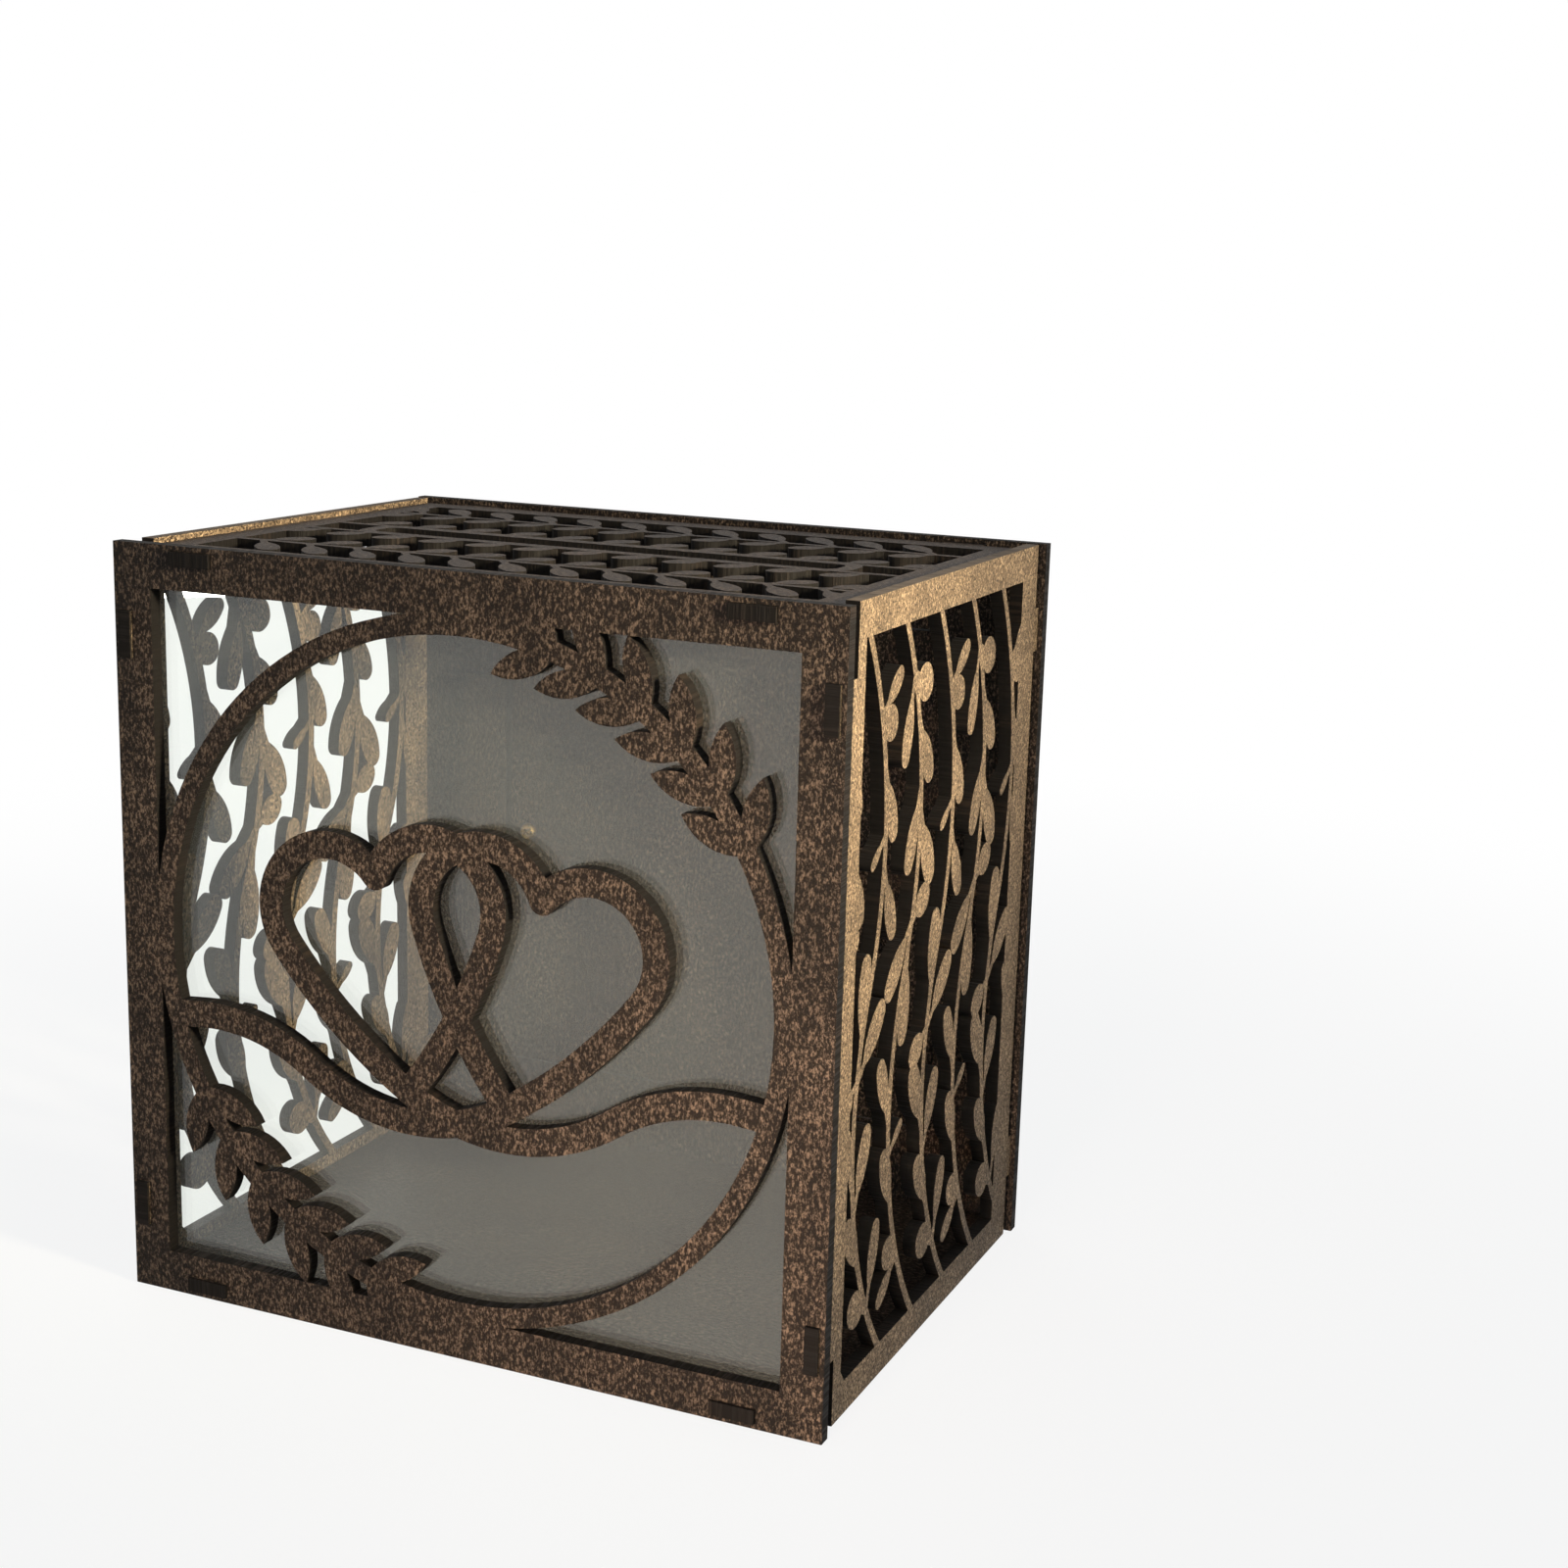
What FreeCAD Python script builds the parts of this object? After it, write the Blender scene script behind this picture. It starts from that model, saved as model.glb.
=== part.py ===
"""Laser-cut wedding card box: pierced sheets joined by tabs and slots, a clear pane, a hinged rear door.

Millimetres. X is the width, Y runs from the front to the back, Z is up. The origin lies on the table,
under the middle of the whole object, tabs and door knob included.
"""
import FreeCAD, Part
import math
import os

V = FreeCAD.Vector

# Box and sheet
BOX_WIDTH = 250.0           # front and back panels, left to right
BOX_HEIGHT = 250.0          # front and back panels, bottom to top
BOX_DEPTH = 182.0           # front face of the front panel to the outer face of the back panel
SHEET = 4.5                 # board thickness of every wooden piece

# Tabs on the walls, slots in the front and back panels
TAB_LENGTH = 15.0           # along the panel's edge
TAB_FROM_CORNER = 29.3      # tab centre to the panel's corner
TAB_PROUD = 1.0             # tab end beyond the face of the panel
TAB_PLAY = 0.2              # gap on each side of a tab in its slot
EDGE_WEB = 1.6              # board left between a slot and the panel's edge
CORNER_RELIEF = 4.0         # step back of a side wall's front corners, outside its tabs
SIDE_PLAY = 0.2             # gap between the side walls and the top or floor

# Clear pane behind the front panel
PANE_THICK = 3.0
PANE_PLAY = 0.4             # gap from the pane to the shoulders of the walls
PANE_MARGIN = 2.0           # pane edge inside the panel's edge
NOTCH_PLAY = 0.3            # gap round a tab in the pane's notch

# Front panel ornament
FRONT_BORDER = 14.0
RING_BAND = 6.5
RING_BITE = 1.3             # ring sunk into the border where it touches
SPRIG_START = 28.0          # degrees round the ring to the first pair of leaves
SPRIG_STEP = 8.8            # degrees between pairs
SPRIG_PAIRS = 6
SPRIG_LEAF_LENGTH = 23.5
SPRIG_LEAF_WIDTH = 8.6
SPRIG_SPREAD = 38.0         # degrees from the ring to a leaf
STROKE = 8.8                # width of the flourish's line

# Shape of the linked hearts, in shares of the ring's inner radius and in degrees
HEART_LOBE = 0.205
HEART_SPACING = 0.178       # heart's middle line to a lobe's centre
HEART_TIP = 0.55            # lobe centres down to the tip
HEART_TOUCH = -28.0         # place on the lobe where the side runs on
HEART_SHIFT = 0.26
HEART_LIFT = 0.17
HEART_TILT = 10.0
TAIL_TURNS = ((0.62, 66.0), (0.60, -40.0))

# Vine ornament of the walls and the top
WALL_BORDER_ENDS = 11.0     # plain border above and below the vines
WALL_BORDER_FRONT = 10.0
WALL_BORDER_REAR = 15.0
STEM_WIDTH = 3.2
STEM_PITCH = 29.4
STEM_FIRST = 3.0            # first whole stem to the front edge of the window
STEM_BULGE = 17.5           # rearward bow of a stem's upper part
STEM_BULGE_DROP = 0.235     # share of the window's height down to the bow
STEM_JOIN = 9.0             # rearward place of the point where the bow turns
STEM_JOIN_DROP = 0.475
STEM_DRIFT = 27.5           # rearward place of a stem's foot
STEM_OVERRUN = 5.0          # degrees that a stem runs on into the border
TWIG_WIDTH = 2.4
LEAF_THROAT = 0.20          # share of a leaf's length where its blade starts
LEAF_TIP = 0.80             # radius of a leaf's tip, as a share of its half width
STALK_OVERRUN = 0.38        # share of a leaf's length where its stalk ends, inside the blade
LEAST_HOLE = 7.0            # smaller openings, in square millimetres, stay closed
TOP_BORDER = 11.0
TOP_STEM_OUT = 49.0         # outer stems of the top, from the card slot's middle
TOP_LEAF_PITCH = 17.4
TOP_LEAF_SWEEP = 40.0       # degrees that a leaf leans along its stem
TOP_LONG_LEAF = (27.0, 8.0)
TOP_SHORT_LEAF = (18.0, 9.0)

# Card slot in the top
CARD_SLOT_LENGTH = 170.0
CARD_SLOT_WIDTH = 13.0
CARD_SLOT_RIM = 5.5
CARD_SLOT_CORNER = 4.0

# Rear door, cut out of the back panel
DOOR_OPENING_WIDTH = 184.0
DOOR_OPENING_HEIGHT = 184.0
DOOR_GAP = 0.6              # all round the door
DOOR_CORNER = 4.0
STOP_WIDTH = 18.0           # strip inside that the door shuts against
STOP_HEIGHT = 120.0
STOP_LAP = 9.0              # part of the strip behind the door
MAGNET_RADIUS = 2.5
MAGNET_THICK = 2.0
MAGNET_SINK = 0.15          # magnet face below the face of the board
MAGNET_PLAY = 0.05
MAGNET_SPREAD = 80.0        # between the two magnets of a row

# Butt hinges
HINGE_SPREAD = 120.0        # between the two hinges
HINGE_HEIGHT = 26.0
LEAF_WIDTH = 12.0           # hinge axis to the outer edge of a leaf
LEAF_THICK = 0.8
KNUCKLE_RADIUS = 2.0
KNUCKLE_PLAY = 0.3
KNUCKLE_LIFT = 0.3          # knuckles clear of the boards
PIN_RADIUS = 1.0
PIN_PLAY = 0.05
PIN_HEAD_RADIUS = 1.6
PIN_HEAD = 0.8
SCREW_RADIUS = 0.8
SCREW_HEAD_RADIUS = 1.7
SCREW_HEAD = 0.6
SCREW_DEPTH = 3.0           # in the board
SCREW_PLAY = 0.06
SCREW_SPREAD = 15.0         # between the two screws of a leaf
SCREW_OUT = 8.0             # hinge axis to the screws

# Pull knob
KNOB_REACH = 16.0
KNOB_RADIUS = 8.0
KNOB_CROWN = 1.8            # rise of the head's domed end
KNOB_FOOT_RADIUS = 5.5
KNOB_FOOT = 1.5
KNOB_WAIST = 6.0
KNOB_NECK_RADIUS = 3.4
KNOB_FROM_EDGE = 16.0       # knob centre to the free edge of the door
KNOB_SCREW_RADIUS = 1.5
KNOB_SCREW_HEAD_RADIUS = 3.2
KNOB_SCREW_HEAD = 1.8
KNOB_SCREW_GRIP = 8.0       # thread inside the knob
KNOB_SCREW_PLAY = 0.1

# Places worked out from the sizes
FRONT_Y = -(TAB_PROUD + BOX_DEPTH + KNOB_REACH) / 2 + TAB_PROUD
BACK_Y = FRONT_Y + BOX_DEPTH
FRONT_INNER_Y = FRONT_Y + SHEET
BACK_INNER_Y = BACK_Y - SHEET
SHOULDER_GAP = PANE_THICK + PANE_PLAY
WALL_FRONT = FRONT_INNER_Y + SHOULDER_GAP
WALL_BACK = BACK_INNER_Y - SHOULDER_GAP
WALL_INSET = EDGE_WEB + TAB_PLAY
WALL_OUTER_X = BOX_WIDTH / 2 - WALL_INSET
WALL_INNER_X = WALL_OUTER_X - SHEET
WALL_MIDDLE_X = WALL_OUTER_X - SHEET / 2
FLOOR_Z = WALL_INSET
TOP_Z = BOX_HEIGHT - WALL_INSET - SHEET
TAB_X = BOX_WIDTH / 2 - TAB_FROM_CORNER
TAB_HEIGHTS = (TAB_FROM_CORNER, BOX_HEIGHT - TAB_FROM_CORNER)
MIDDLE_Z = BOX_HEIGHT / 2
CARD_SLOT_Y = (WALL_FRONT + WALL_BACK) / 2
WINDOW_WIDTH = BOX_WIDTH - 2 * FRONT_BORDER
WINDOW_HEIGHT = BOX_HEIGHT - 2 * FRONT_BORDER
RING_OUTER = min(WINDOW_WIDTH, WINDOW_HEIGHT) / 2 + RING_BITE
RING_INNER = RING_OUTER - RING_BAND
RING_MIDDLE = (RING_OUTER + RING_INNER) / 2
DOOR_HALF = DOOR_OPENING_WIDTH / 2
HINGE_X = DOOR_HALF - DOOR_GAP / 2
HINGE_Y = BACK_Y + KNUCKLE_LIFT + KNUCKLE_RADIUS
HINGE_HEIGHTS = {
    "upper": MIDDLE_Z + HINGE_SPREAD / 2,
    "lower": MIDDLE_Z - HINGE_SPREAD / 2,
}
MAGNET_X = -DOOR_HALF + DOOR_GAP + (STOP_LAP - DOOR_GAP) / 2
MAGNET_HEIGHTS = (MIDDLE_Z - MAGNET_SPREAD / 2, MIDDLE_Z + MAGNET_SPREAD / 2)
KNOB_X = -DOOR_HALF + DOOR_GAP + KNOB_FROM_EDGE

# Leaves on the upper half of the two kinds of stem, which take turns. Each row gives the share of the
# stem's height down to the leaf's foot, degrees from straight down towards the rear, length and width.
# The lower half of a stem carries the other kind's leaves, turned half round.
EVEN_STEM_LEAVES = (
    (0.100, 56, 16.5, 11.0),
    (0.110, 128, 20.0, 6.5),
    (0.175, 21, 27.0, 9.0),
    (0.270, -52, 14.0, 4.0),
    (0.310, 21, 27.0, 8.5),
)
ODD_STEM_LEAVES = (
    (0.070, -13, 29.0, 8.0),
    (0.070, 66, 18.0, 12.0),
    (0.130, 29, 26.0, 9.5),
    (0.225, -20, 29.0, 9.0),
    (0.260, 24, 29.0, 10.5),
    (0.410, -44, 29.5, 9.5),
    (0.415, 120, 17.5, 10.0),
    (0.440, -6, 33.0, 9.5),
)


def polar(radius, degrees, centre=V()):
    """Point at an angle round a centre, in the drawing plane."""
    turn = math.radians(degrees)
    return centre + V(radius * math.cos(turn), radius * math.sin(turn), 0)


def bearing(point, centre):
    """Angle in degrees from a centre to a point."""
    return math.degrees(math.atan2(point.y - centre.y, point.x - centre.x))


def closed_face(*curves):
    """Flat face inside curves that follow one another."""
    return Part.Face(Part.Wire([curve.toShape() for curve in curves]))


def polygon(points):
    """Flat face with straight sides, through pairs of x and y."""
    corners = [V(x, y, 0) for x, y in points]
    return Part.Face(Part.makePolygon(corners + corners[:1]))


def rectangle(left, low, right, high):
    """Flat rectangle between two corners."""
    return polygon([(left, low), (right, low), (right, high), (left, high)])


def centred_rectangle(x, y, width, height):
    """Flat rectangle round a middle point."""
    return rectangle(x - width / 2, y - height / 2, x + width / 2, y + height / 2)


def rounded_rectangle(x, y, width, height, corner):
    """Flat rectangle with round corners, round a middle point."""
    across = width / 2 - corner
    up = height / 2 - corner
    rounds = []
    for turn, (sign_x, sign_y) in enumerate(((1, 1), (-1, 1), (-1, -1), (1, -1))):
        centre = V(x + sign_x * across, y + sign_y * up, 0)
        rounds.append([polar(corner, turn * 90 + step, centre) for step in (0, 45, 90)])
    curves = []
    for points, following in zip(rounds, rounds[1:] + rounds[:1]):
        curves.append(Part.Arc(*points))
        curves.append(Part.LineSegment(points[-1], following[0]))
    return closed_face(*curves)


def disc(centre, radius):
    """Flat disc."""
    return Part.Face(Part.Wire(Part.makeCircle(radius, centre)))


def bar(start, end, width):
    """Straight stroke between two points."""
    along = (end - start).normalize()
    across = V(-along.y, along.x, 0) * (width / 2)
    corners = (start - across, end - across, end + across, start + across)
    return polygon([(corner.x, corner.y) for corner in corners])


def band(centre, radius, begin, finish, width):
    """Stroke along an arc, between two angles in degrees."""
    outer = radius + width / 2
    inner = radius - width / 2
    angles = (begin, (begin + finish) / 2, finish)
    outside = [polar(outer, angle, centre) for angle in angles]
    inside = [polar(inner, angle, centre) for angle in reversed(angles)]
    return closed_face(
        Part.Arc(*outside),
        Part.LineSegment(outside[-1], inside[0]),
        Part.Arc(*inside),
        Part.LineSegment(inside[-1], outside[0]),
    )


def stroke(point, heading, turns, width):
    """Stroke along tangent arcs, each a radius and degrees to the left, with its last point and heading."""
    pieces = []
    for radius, degrees in turns:
        side = math.copysign(90, degrees)
        centre = polar(radius, heading + side, point)
        begin = heading - side
        pieces.append(band(centre, radius, begin, begin + degrees, width))
        point = polar(radius, begin + degrees, centre)
        heading += degrees
    return pieces, point, heading


def spoon_leaf(foot, heading, length, width):
    """Leaf with a thin stalk, a swelling blade and a round tip, as two faces.

    Each side of the blade is an arc from the throat that runs tangent into the tip's circle.
    """
    half = width / 2
    tip_radius = LEAF_TIP * half
    blade = length * (1 - LEAF_THROAT) - tip_radius
    spread = (blade / (math.sqrt(half) + math.sqrt(half - tip_radius))) ** 2
    side_radius = (spread + half) / 2
    belly = math.sqrt(half * spread)
    tip_reach = belly + math.sqrt((half - tip_radius) * (spread - tip_radius))
    throat = polar(LEAF_THROAT * length, heading, foot)
    tip_centre = polar(tip_reach, heading, throat)
    sides = []
    for side in (-1, 1):
        widest = polar(half, heading + side * 90, polar(belly, heading, throat))
        centre = polar(side_radius, heading - side * 90, widest)
        sides.append((widest, polar(tip_radius, bearing(tip_centre, centre), tip_centre)))
    (right_belly, right_end), (left_belly, left_end) = sides
    face = closed_face(
        Part.Arc(throat, right_belly, right_end),
        Part.Arc(right_end, polar(tip_radius, heading, tip_centre), left_end),
        Part.Arc(left_end, left_belly, throat),
    )
    return [face, bar(foot, polar(STALK_OVERRUN * length, heading, foot), TWIG_WIDTH)]


def pointed_leaf(foot, heading, length, width):
    """Leaf that is pointed at both ends."""
    tip = polar(length, heading, foot)
    middle = polar(length / 2, heading, foot)
    return closed_face(
        Part.Arc(foot, polar(width / 2, heading - 90, middle), tip),
        Part.Arc(tip, polar(width / 2, heading + 90, middle), foot),
    )


def openings(window, growth):
    """Openings that an ornament leaves in its window, less the tiny ones."""
    return [face for face in window.cut(growth).Faces if face.Area > LEAST_HOLE]


def sheet(face, thickness=SHEET):
    """Board cut to a flat outline."""
    solids = face.extrude(V(0, 0, thickness)).Solids
    if len(solids) != 1:
        raise ValueError("an outline falls apart into %d boards" % len(solids))
    return solids[0]


def facing_front(board, y_near):
    """Stand a board across the box: drawn x and y become X and Z."""
    thickness = board.BoundBox.ZLength
    board.rotate(V(), V(1, 0, 0), 90)
    board.translate(V(0, y_near + thickness, 0))
    return board


def facing_side(board, x_near):
    """Stand a board along the box: drawn x and y become Y and Z."""
    board.rotate(V(), V(1, 1, 1), 120)
    board.translate(V(x_near, 0, 0))
    return board


def lying(board, level):
    """Lay a board flat in the box: drawn x and y become Y and X."""
    thickness = board.BoundBox.ZLength
    board.rotate(V(), V(1, 1, 0), 180)
    board.translate(V(0, 0, level + thickness))
    return board


def across_back(radius, x, z, y_near, y_far):
    """Round bar or hole through the back, square to it."""
    return Part.makeCylinder(radius, y_far - y_near, V(x, y_near, z), V(0, 1, 0))


def turned(profile, x, z, y_start):
    """Solid of a profile drawn as radius and outward reach, turned round an axis square to the back."""
    face = closed_face(*profile)
    solid = face.revolve(V(), V(0, 1, 0), 360)
    solid.translate(V(x, y_start, z))
    return solid


def panel_slots():
    """Slots of a front or back panel, one for each tab."""
    long_side = TAB_LENGTH + 2 * TAB_PLAY
    short_side = SHEET + 2 * TAB_PLAY
    slots = []
    for side in (-1, 1):
        for height in TAB_HEIGHTS:
            slots.append(centred_rectangle(side * WALL_MIDDLE_X, height, short_side, long_side))
        for level in (FLOOR_Z, TOP_Z):
            slots.append(centred_rectangle(side * TAB_X, level + SHEET / 2, long_side, short_side))
    return slots


def wall_outline(low, high, tab_places):
    """Wall drawn with the depth along x, with a tab at each place at both ends."""
    tabs = []
    for place in tab_places:
        tabs += [(0, place - TAB_LENGTH / 2), (1, place - TAB_LENGTH / 2)]
        tabs += [(1, place + TAB_LENGTH / 2), (0, place + TAB_LENGTH / 2)]
    back_ends = (WALL_BACK, BACK_Y + TAB_PROUD)
    front_ends = (WALL_FRONT, FRONT_Y - TAB_PROUD)
    back = [(back_ends[out], place) for out, place in tabs]
    front = [(front_ends[out], place) for out, place in reversed(tabs)]
    return polygon(
        [(WALL_FRONT, low), (WALL_BACK, low)] + back + [(WALL_BACK, high), (WALL_FRONT, high)] + front)


def wreath():
    """Ring round the origin with two leafy sprigs, alike by a half turn."""
    faces = [disc(V(), RING_OUTER).cut(disc(V(), RING_INNER))]
    for half_turn in (0, 180):
        for pair in range(SPRIG_PAIRS):
            angle = half_turn + SPRIG_START + pair * SPRIG_STEP
            foot = polar(RING_MIDDLE, angle)
            for side in (-1, 1):
                heading = angle + 90 + side * SPRIG_SPREAD
                faces.append(pointed_leaf(foot, heading, SPRIG_LEAF_LENGTH, SPRIG_LEAF_WIDTH))
    return faces


def heart_half():
    """Right half of a heart's line round the origin, and its heading as it leaves the heart's tip.

    The side is an arc that touches the lobe's circle and runs through the tip.
    """
    lobe = HEART_LOBE * RING_INNER
    spacing = HEART_SPACING * RING_INNER
    tip = HEART_TIP * RING_INNER
    touch = polar(1, HEART_TOUCH)
    gap = (spacing ** 2 + tip ** 2 - lobe ** 2) / (2 * (lobe + spacing * touch.x + tip * touch.y))
    lobe_centre = V(spacing, 0, 0)
    side_centre = lobe_centre - touch * gap
    tip_angle = bearing(V(0, -tip, 0), side_centre)
    cleft_angle = 180 - math.degrees(math.acos(spacing / lobe))
    cleft = polar(lobe, cleft_angle, lobe_centre)
    faces = [
        band(side_centre, gap + lobe, tip_angle, HEART_TOUCH, STROKE),
        band(lobe_centre, lobe, HEART_TOUCH, cleft_angle, STROKE),
        disc(V(0, -tip, 0), STROKE / 2),
        disc(cleft, STROKE / 2),
    ]
    return faces, V(0, -tip, 0), tip_angle + 90


def flourish():
    """Two linked hearts round the origin, whose lines run on, cross below and end in the ring."""
    half, tip, tip_heading = heart_half()
    heart = half + [face.mirror(V(), V(1, 0, 0)) for face in half]
    turns = [(radius * RING_INNER, degrees) for radius, degrees in TAIL_TURNS]
    tail, point, heading = stroke(tip, -tip_heading, turns, STROKE)
    place = FreeCAD.Placement(
        V(-HEART_SHIFT * RING_INNER, HEART_LIFT * RING_INNER, 0), FreeCAD.Rotation(V(0, 0, 1), HEART_TILT))
    one_side = [face.transformed(place.toMatrix()) for face in heart + tail]
    end = place.multVec(point)
    along = polar(1, heading + HEART_TILT)
    inward = end.dot(along)
    run = math.sqrt(inward ** 2 + RING_MIDDLE ** 2 - end.dot(end)) - inward
    one_side.append(bar(end, end + along * run, STROKE))
    return one_side + [face.mirror(V(), V(1, 0, 0)) for face in one_side]


def front_panel():
    """Front frame with the wreath and the flourish in its window."""
    board = centred_rectangle(0, MIDDLE_Z, BOX_WIDTH, BOX_HEIGHT)
    window = centred_rectangle(0, MIDDLE_Z, WINDOW_WIDTH, WINDOW_HEIGHT)
    ornament = wreath() + flourish()
    for face in ornament:
        face.translate(V(0, MIDDLE_Z, 0))
    return facing_front(sheet(board.cut(openings(window, ornament) + panel_slots())), FRONT_Y)


def front_pane():
    """Clear pane that the front panel and the shoulders of the walls hold, notched round the tabs."""
    pane = centred_rectangle(
        0, MIDDLE_Z, BOX_WIDTH - 2 * PANE_MARGIN, BOX_HEIGHT - 2 * PANE_MARGIN)
    notch_length = TAB_LENGTH + 2 * NOTCH_PLAY
    notches = []
    for side in (-1, 1):
        edge = side * BOX_WIDTH / 2
        inner = side * (WALL_INNER_X - NOTCH_PLAY)
        for height in TAB_HEIGHTS:
            notches.append(centred_rectangle((edge + inner) / 2, height, abs(edge - inner), notch_length))
        x = side * TAB_X
        floor_notch = FLOOR_Z + SHEET + NOTCH_PLAY
        top_notch = TOP_Z - NOTCH_PLAY
        notches.append(rectangle(x - notch_length / 2, 0, x + notch_length / 2, floor_notch))
        notches.append(rectangle(x - notch_length / 2, top_notch, x + notch_length / 2, BOX_HEIGHT))
    return facing_front(sheet(pane.cut(notches), PANE_THICK), FRONT_INNER_Y)


class Stem:
    """Vine stem of two tangent arcs, from the top of a window to its foot."""

    def __init__(self, x, low, high):
        height = high - low
        start = V(x, high, 0)
        bow = V(x + STEM_BULGE, high - STEM_BULGE_DROP * height, 0)
        self.join = V(x + STEM_JOIN, high - STEM_JOIN_DROP * height, 0)
        foot = V(x + STEM_DRIFT, low, 0)
        upper = Part.Circle(start, bow, self.join)
        self.upper_centre = upper.Center
        self.upper_radius = upper.Radius
        outward = (self.join - upper.Center).normalize()
        chord = foot - self.join
        self.lower_radius = chord.dot(chord) / (2 * outward.dot(chord))
        self.lower_centre = self.join + outward * self.lower_radius
        self.start = start
        self.foot = foot

    def faces(self):
        """Two bands that run a little past the window."""
        upper_end = bearing(self.join, self.upper_centre)
        upper_start = bearing(self.start, self.upper_centre) + STEM_OVERRUN
        lower_start = bearing(self.join, self.lower_centre) % 360
        lower_end = bearing(self.foot, self.lower_centre) % 360 + STEM_OVERRUN
        return [
            band(self.upper_centre, self.upper_radius, upper_end, upper_start, STEM_WIDTH),
            band(self.lower_centre, self.lower_radius, lower_start, lower_end, STEM_WIDTH),
        ]

    def at(self, y):
        """Point of the stem's middle line at a height."""
        if y > self.join.y:
            rise = y - self.upper_centre.y
            return V(self.upper_centre.x + math.sqrt(self.upper_radius ** 2 - rise ** 2), y, 0)
        rise = y - self.lower_centre.y
        return V(self.lower_centre.x - math.sqrt(self.lower_radius ** 2 - rise ** 2), y, 0)


def wall_vines(left, low, right, high):
    """Stems side by side across a window, with their leaves."""
    faces = []
    kinds = (EVEN_STEM_LEAVES, ODD_STEM_LEAVES)
    height = high - low
    stems = math.ceil((right - left - STEM_FIRST) / STEM_PITCH)
    for number in range(-1, stems + 1):
        stem = Stem(left + STEM_FIRST + number * STEM_PITCH, low, high)
        faces += stem.faces()
        for drop, lean, length, width in kinds[number % 2]:
            faces += spoon_leaf(stem.at(high - drop * height), lean - 90, length, width)
        for drop, lean, length, width in kinds[(number + 1) % 2]:
            faces += spoon_leaf(stem.at(low + drop * height), lean + 90, length, width)
    return faces


def side_wall(x_near):
    """Side wall, pierced by vines."""
    left = WALL_FRONT + WALL_BORDER_FRONT
    right = WALL_BACK - WALL_BORDER_REAR
    low = WALL_BORDER_ENDS
    high = BOX_HEIGHT - WALL_BORDER_ENDS
    holes = openings(rectangle(left, low, right, high), wall_vines(left, low, right, high))
    corner = TAB_FROM_CORNER - TAB_LENGTH / 2
    step = WALL_FRONT + CORNER_RELIEF
    steps = [
        rectangle(WALL_FRONT, 0, step, corner),
        rectangle(WALL_FRONT, BOX_HEIGHT - corner, step, BOX_HEIGHT),
    ]
    return facing_side(sheet(wall_outline(0, BOX_HEIGHT, TAB_HEIGHTS).cut(holes + steps)), x_near)


def top_vines(low, high):
    """Two stems in front of the card slot and two behind it, with leaves at a steady pitch."""
    faces = []
    count = round((high - low) / TOP_LEAF_PITCH)
    places = [low + (number + 0.5) * (high - low) / count for number in range(count)]
    for side in (-1, 1):
        outer_x = CARD_SLOT_Y + side * TOP_STEM_OUT
        inner_x = CARD_SLOT_Y + side * (CARD_SLOT_WIDTH + CARD_SLOT_RIM) / 2
        for x in (outer_x, inner_x):
            faces.append(bar(V(x, low, 0), V(x, high, 0), STEM_WIDTH))
        for y in places:
            out = 90 - side * 90
            outer_foot = V(outer_x, y, 0)
            inner_foot = V(inner_x, y, 0)
            faces += spoon_leaf(outer_foot, out - TOP_LEAF_SWEEP, *TOP_LONG_LEAF)
            faces += spoon_leaf(outer_foot, out + 180 + TOP_LEAF_SWEEP, *TOP_SHORT_LEAF)
            faces += spoon_leaf(inner_foot, out + TOP_LEAF_SWEEP, *TOP_SHORT_LEAF)
    return faces


def top_panel():
    """Top with the card slot between rows of vines."""
    half = WALL_INNER_X - SIDE_PLAY
    low = -half + TOP_BORDER
    high = half - TOP_BORDER
    window = rectangle(WALL_FRONT + TOP_BORDER, low, WALL_BACK - TOP_BORDER, high)
    rim = rounded_rectangle(
        CARD_SLOT_Y, 0, CARD_SLOT_WIDTH + 2 * CARD_SLOT_RIM, CARD_SLOT_LENGTH + 2 * CARD_SLOT_RIM,
        CARD_SLOT_CORNER + CARD_SLOT_RIM)
    slot = rounded_rectangle(CARD_SLOT_Y, 0, CARD_SLOT_WIDTH, CARD_SLOT_LENGTH, CARD_SLOT_CORNER)
    holes = openings(window, top_vines(low, high) + [rim])
    return lying(sheet(wall_outline(-half, half, (-TAB_X, TAB_X)).cut(holes + [slot])), TOP_Z)


def floor_panel():
    """Plain floor."""
    half = WALL_INNER_X - SIDE_PLAY
    return lying(sheet(wall_outline(-half, half, (-TAB_X, TAB_X))), FLOOR_Z)


def screw_places(side):
    """X and Z of the hinge screws on the frame, side 1, or on the door, side -1."""
    places = []
    for height in HINGE_HEIGHTS.values():
        for half in (-1, 1):
            places.append((HINGE_X + side * SCREW_OUT, height + half * SCREW_SPREAD / 2))
    return places


def screw_pilots(side):
    """Blind holes for the hinge screws."""
    radius = SCREW_RADIUS + SCREW_PLAY
    bottom = BACK_Y - SCREW_DEPTH - SCREW_PLAY
    return [across_back(radius, x, z, bottom, BACK_Y) for x, z in screw_places(side)]


def back_panel():
    """Back with the door's opening."""
    board = centred_rectangle(0, MIDDLE_Z, BOX_WIDTH, BOX_HEIGHT)
    opening = rounded_rectangle(0, MIDDLE_Z, DOOR_OPENING_WIDTH, DOOR_OPENING_HEIGHT, DOOR_CORNER)
    panel = facing_front(sheet(board.cut(panel_slots() + [opening])), BACK_INNER_Y)
    return panel.cut(screw_pilots(1)).Solids[0]


def magnet_pockets(y_near, y_far):
    """Blind holes for a row of magnets."""
    radius = MAGNET_RADIUS + MAGNET_PLAY
    return [across_back(radius, MAGNET_X, z, y_near, y_far) for z in MAGNET_HEIGHTS]


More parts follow.
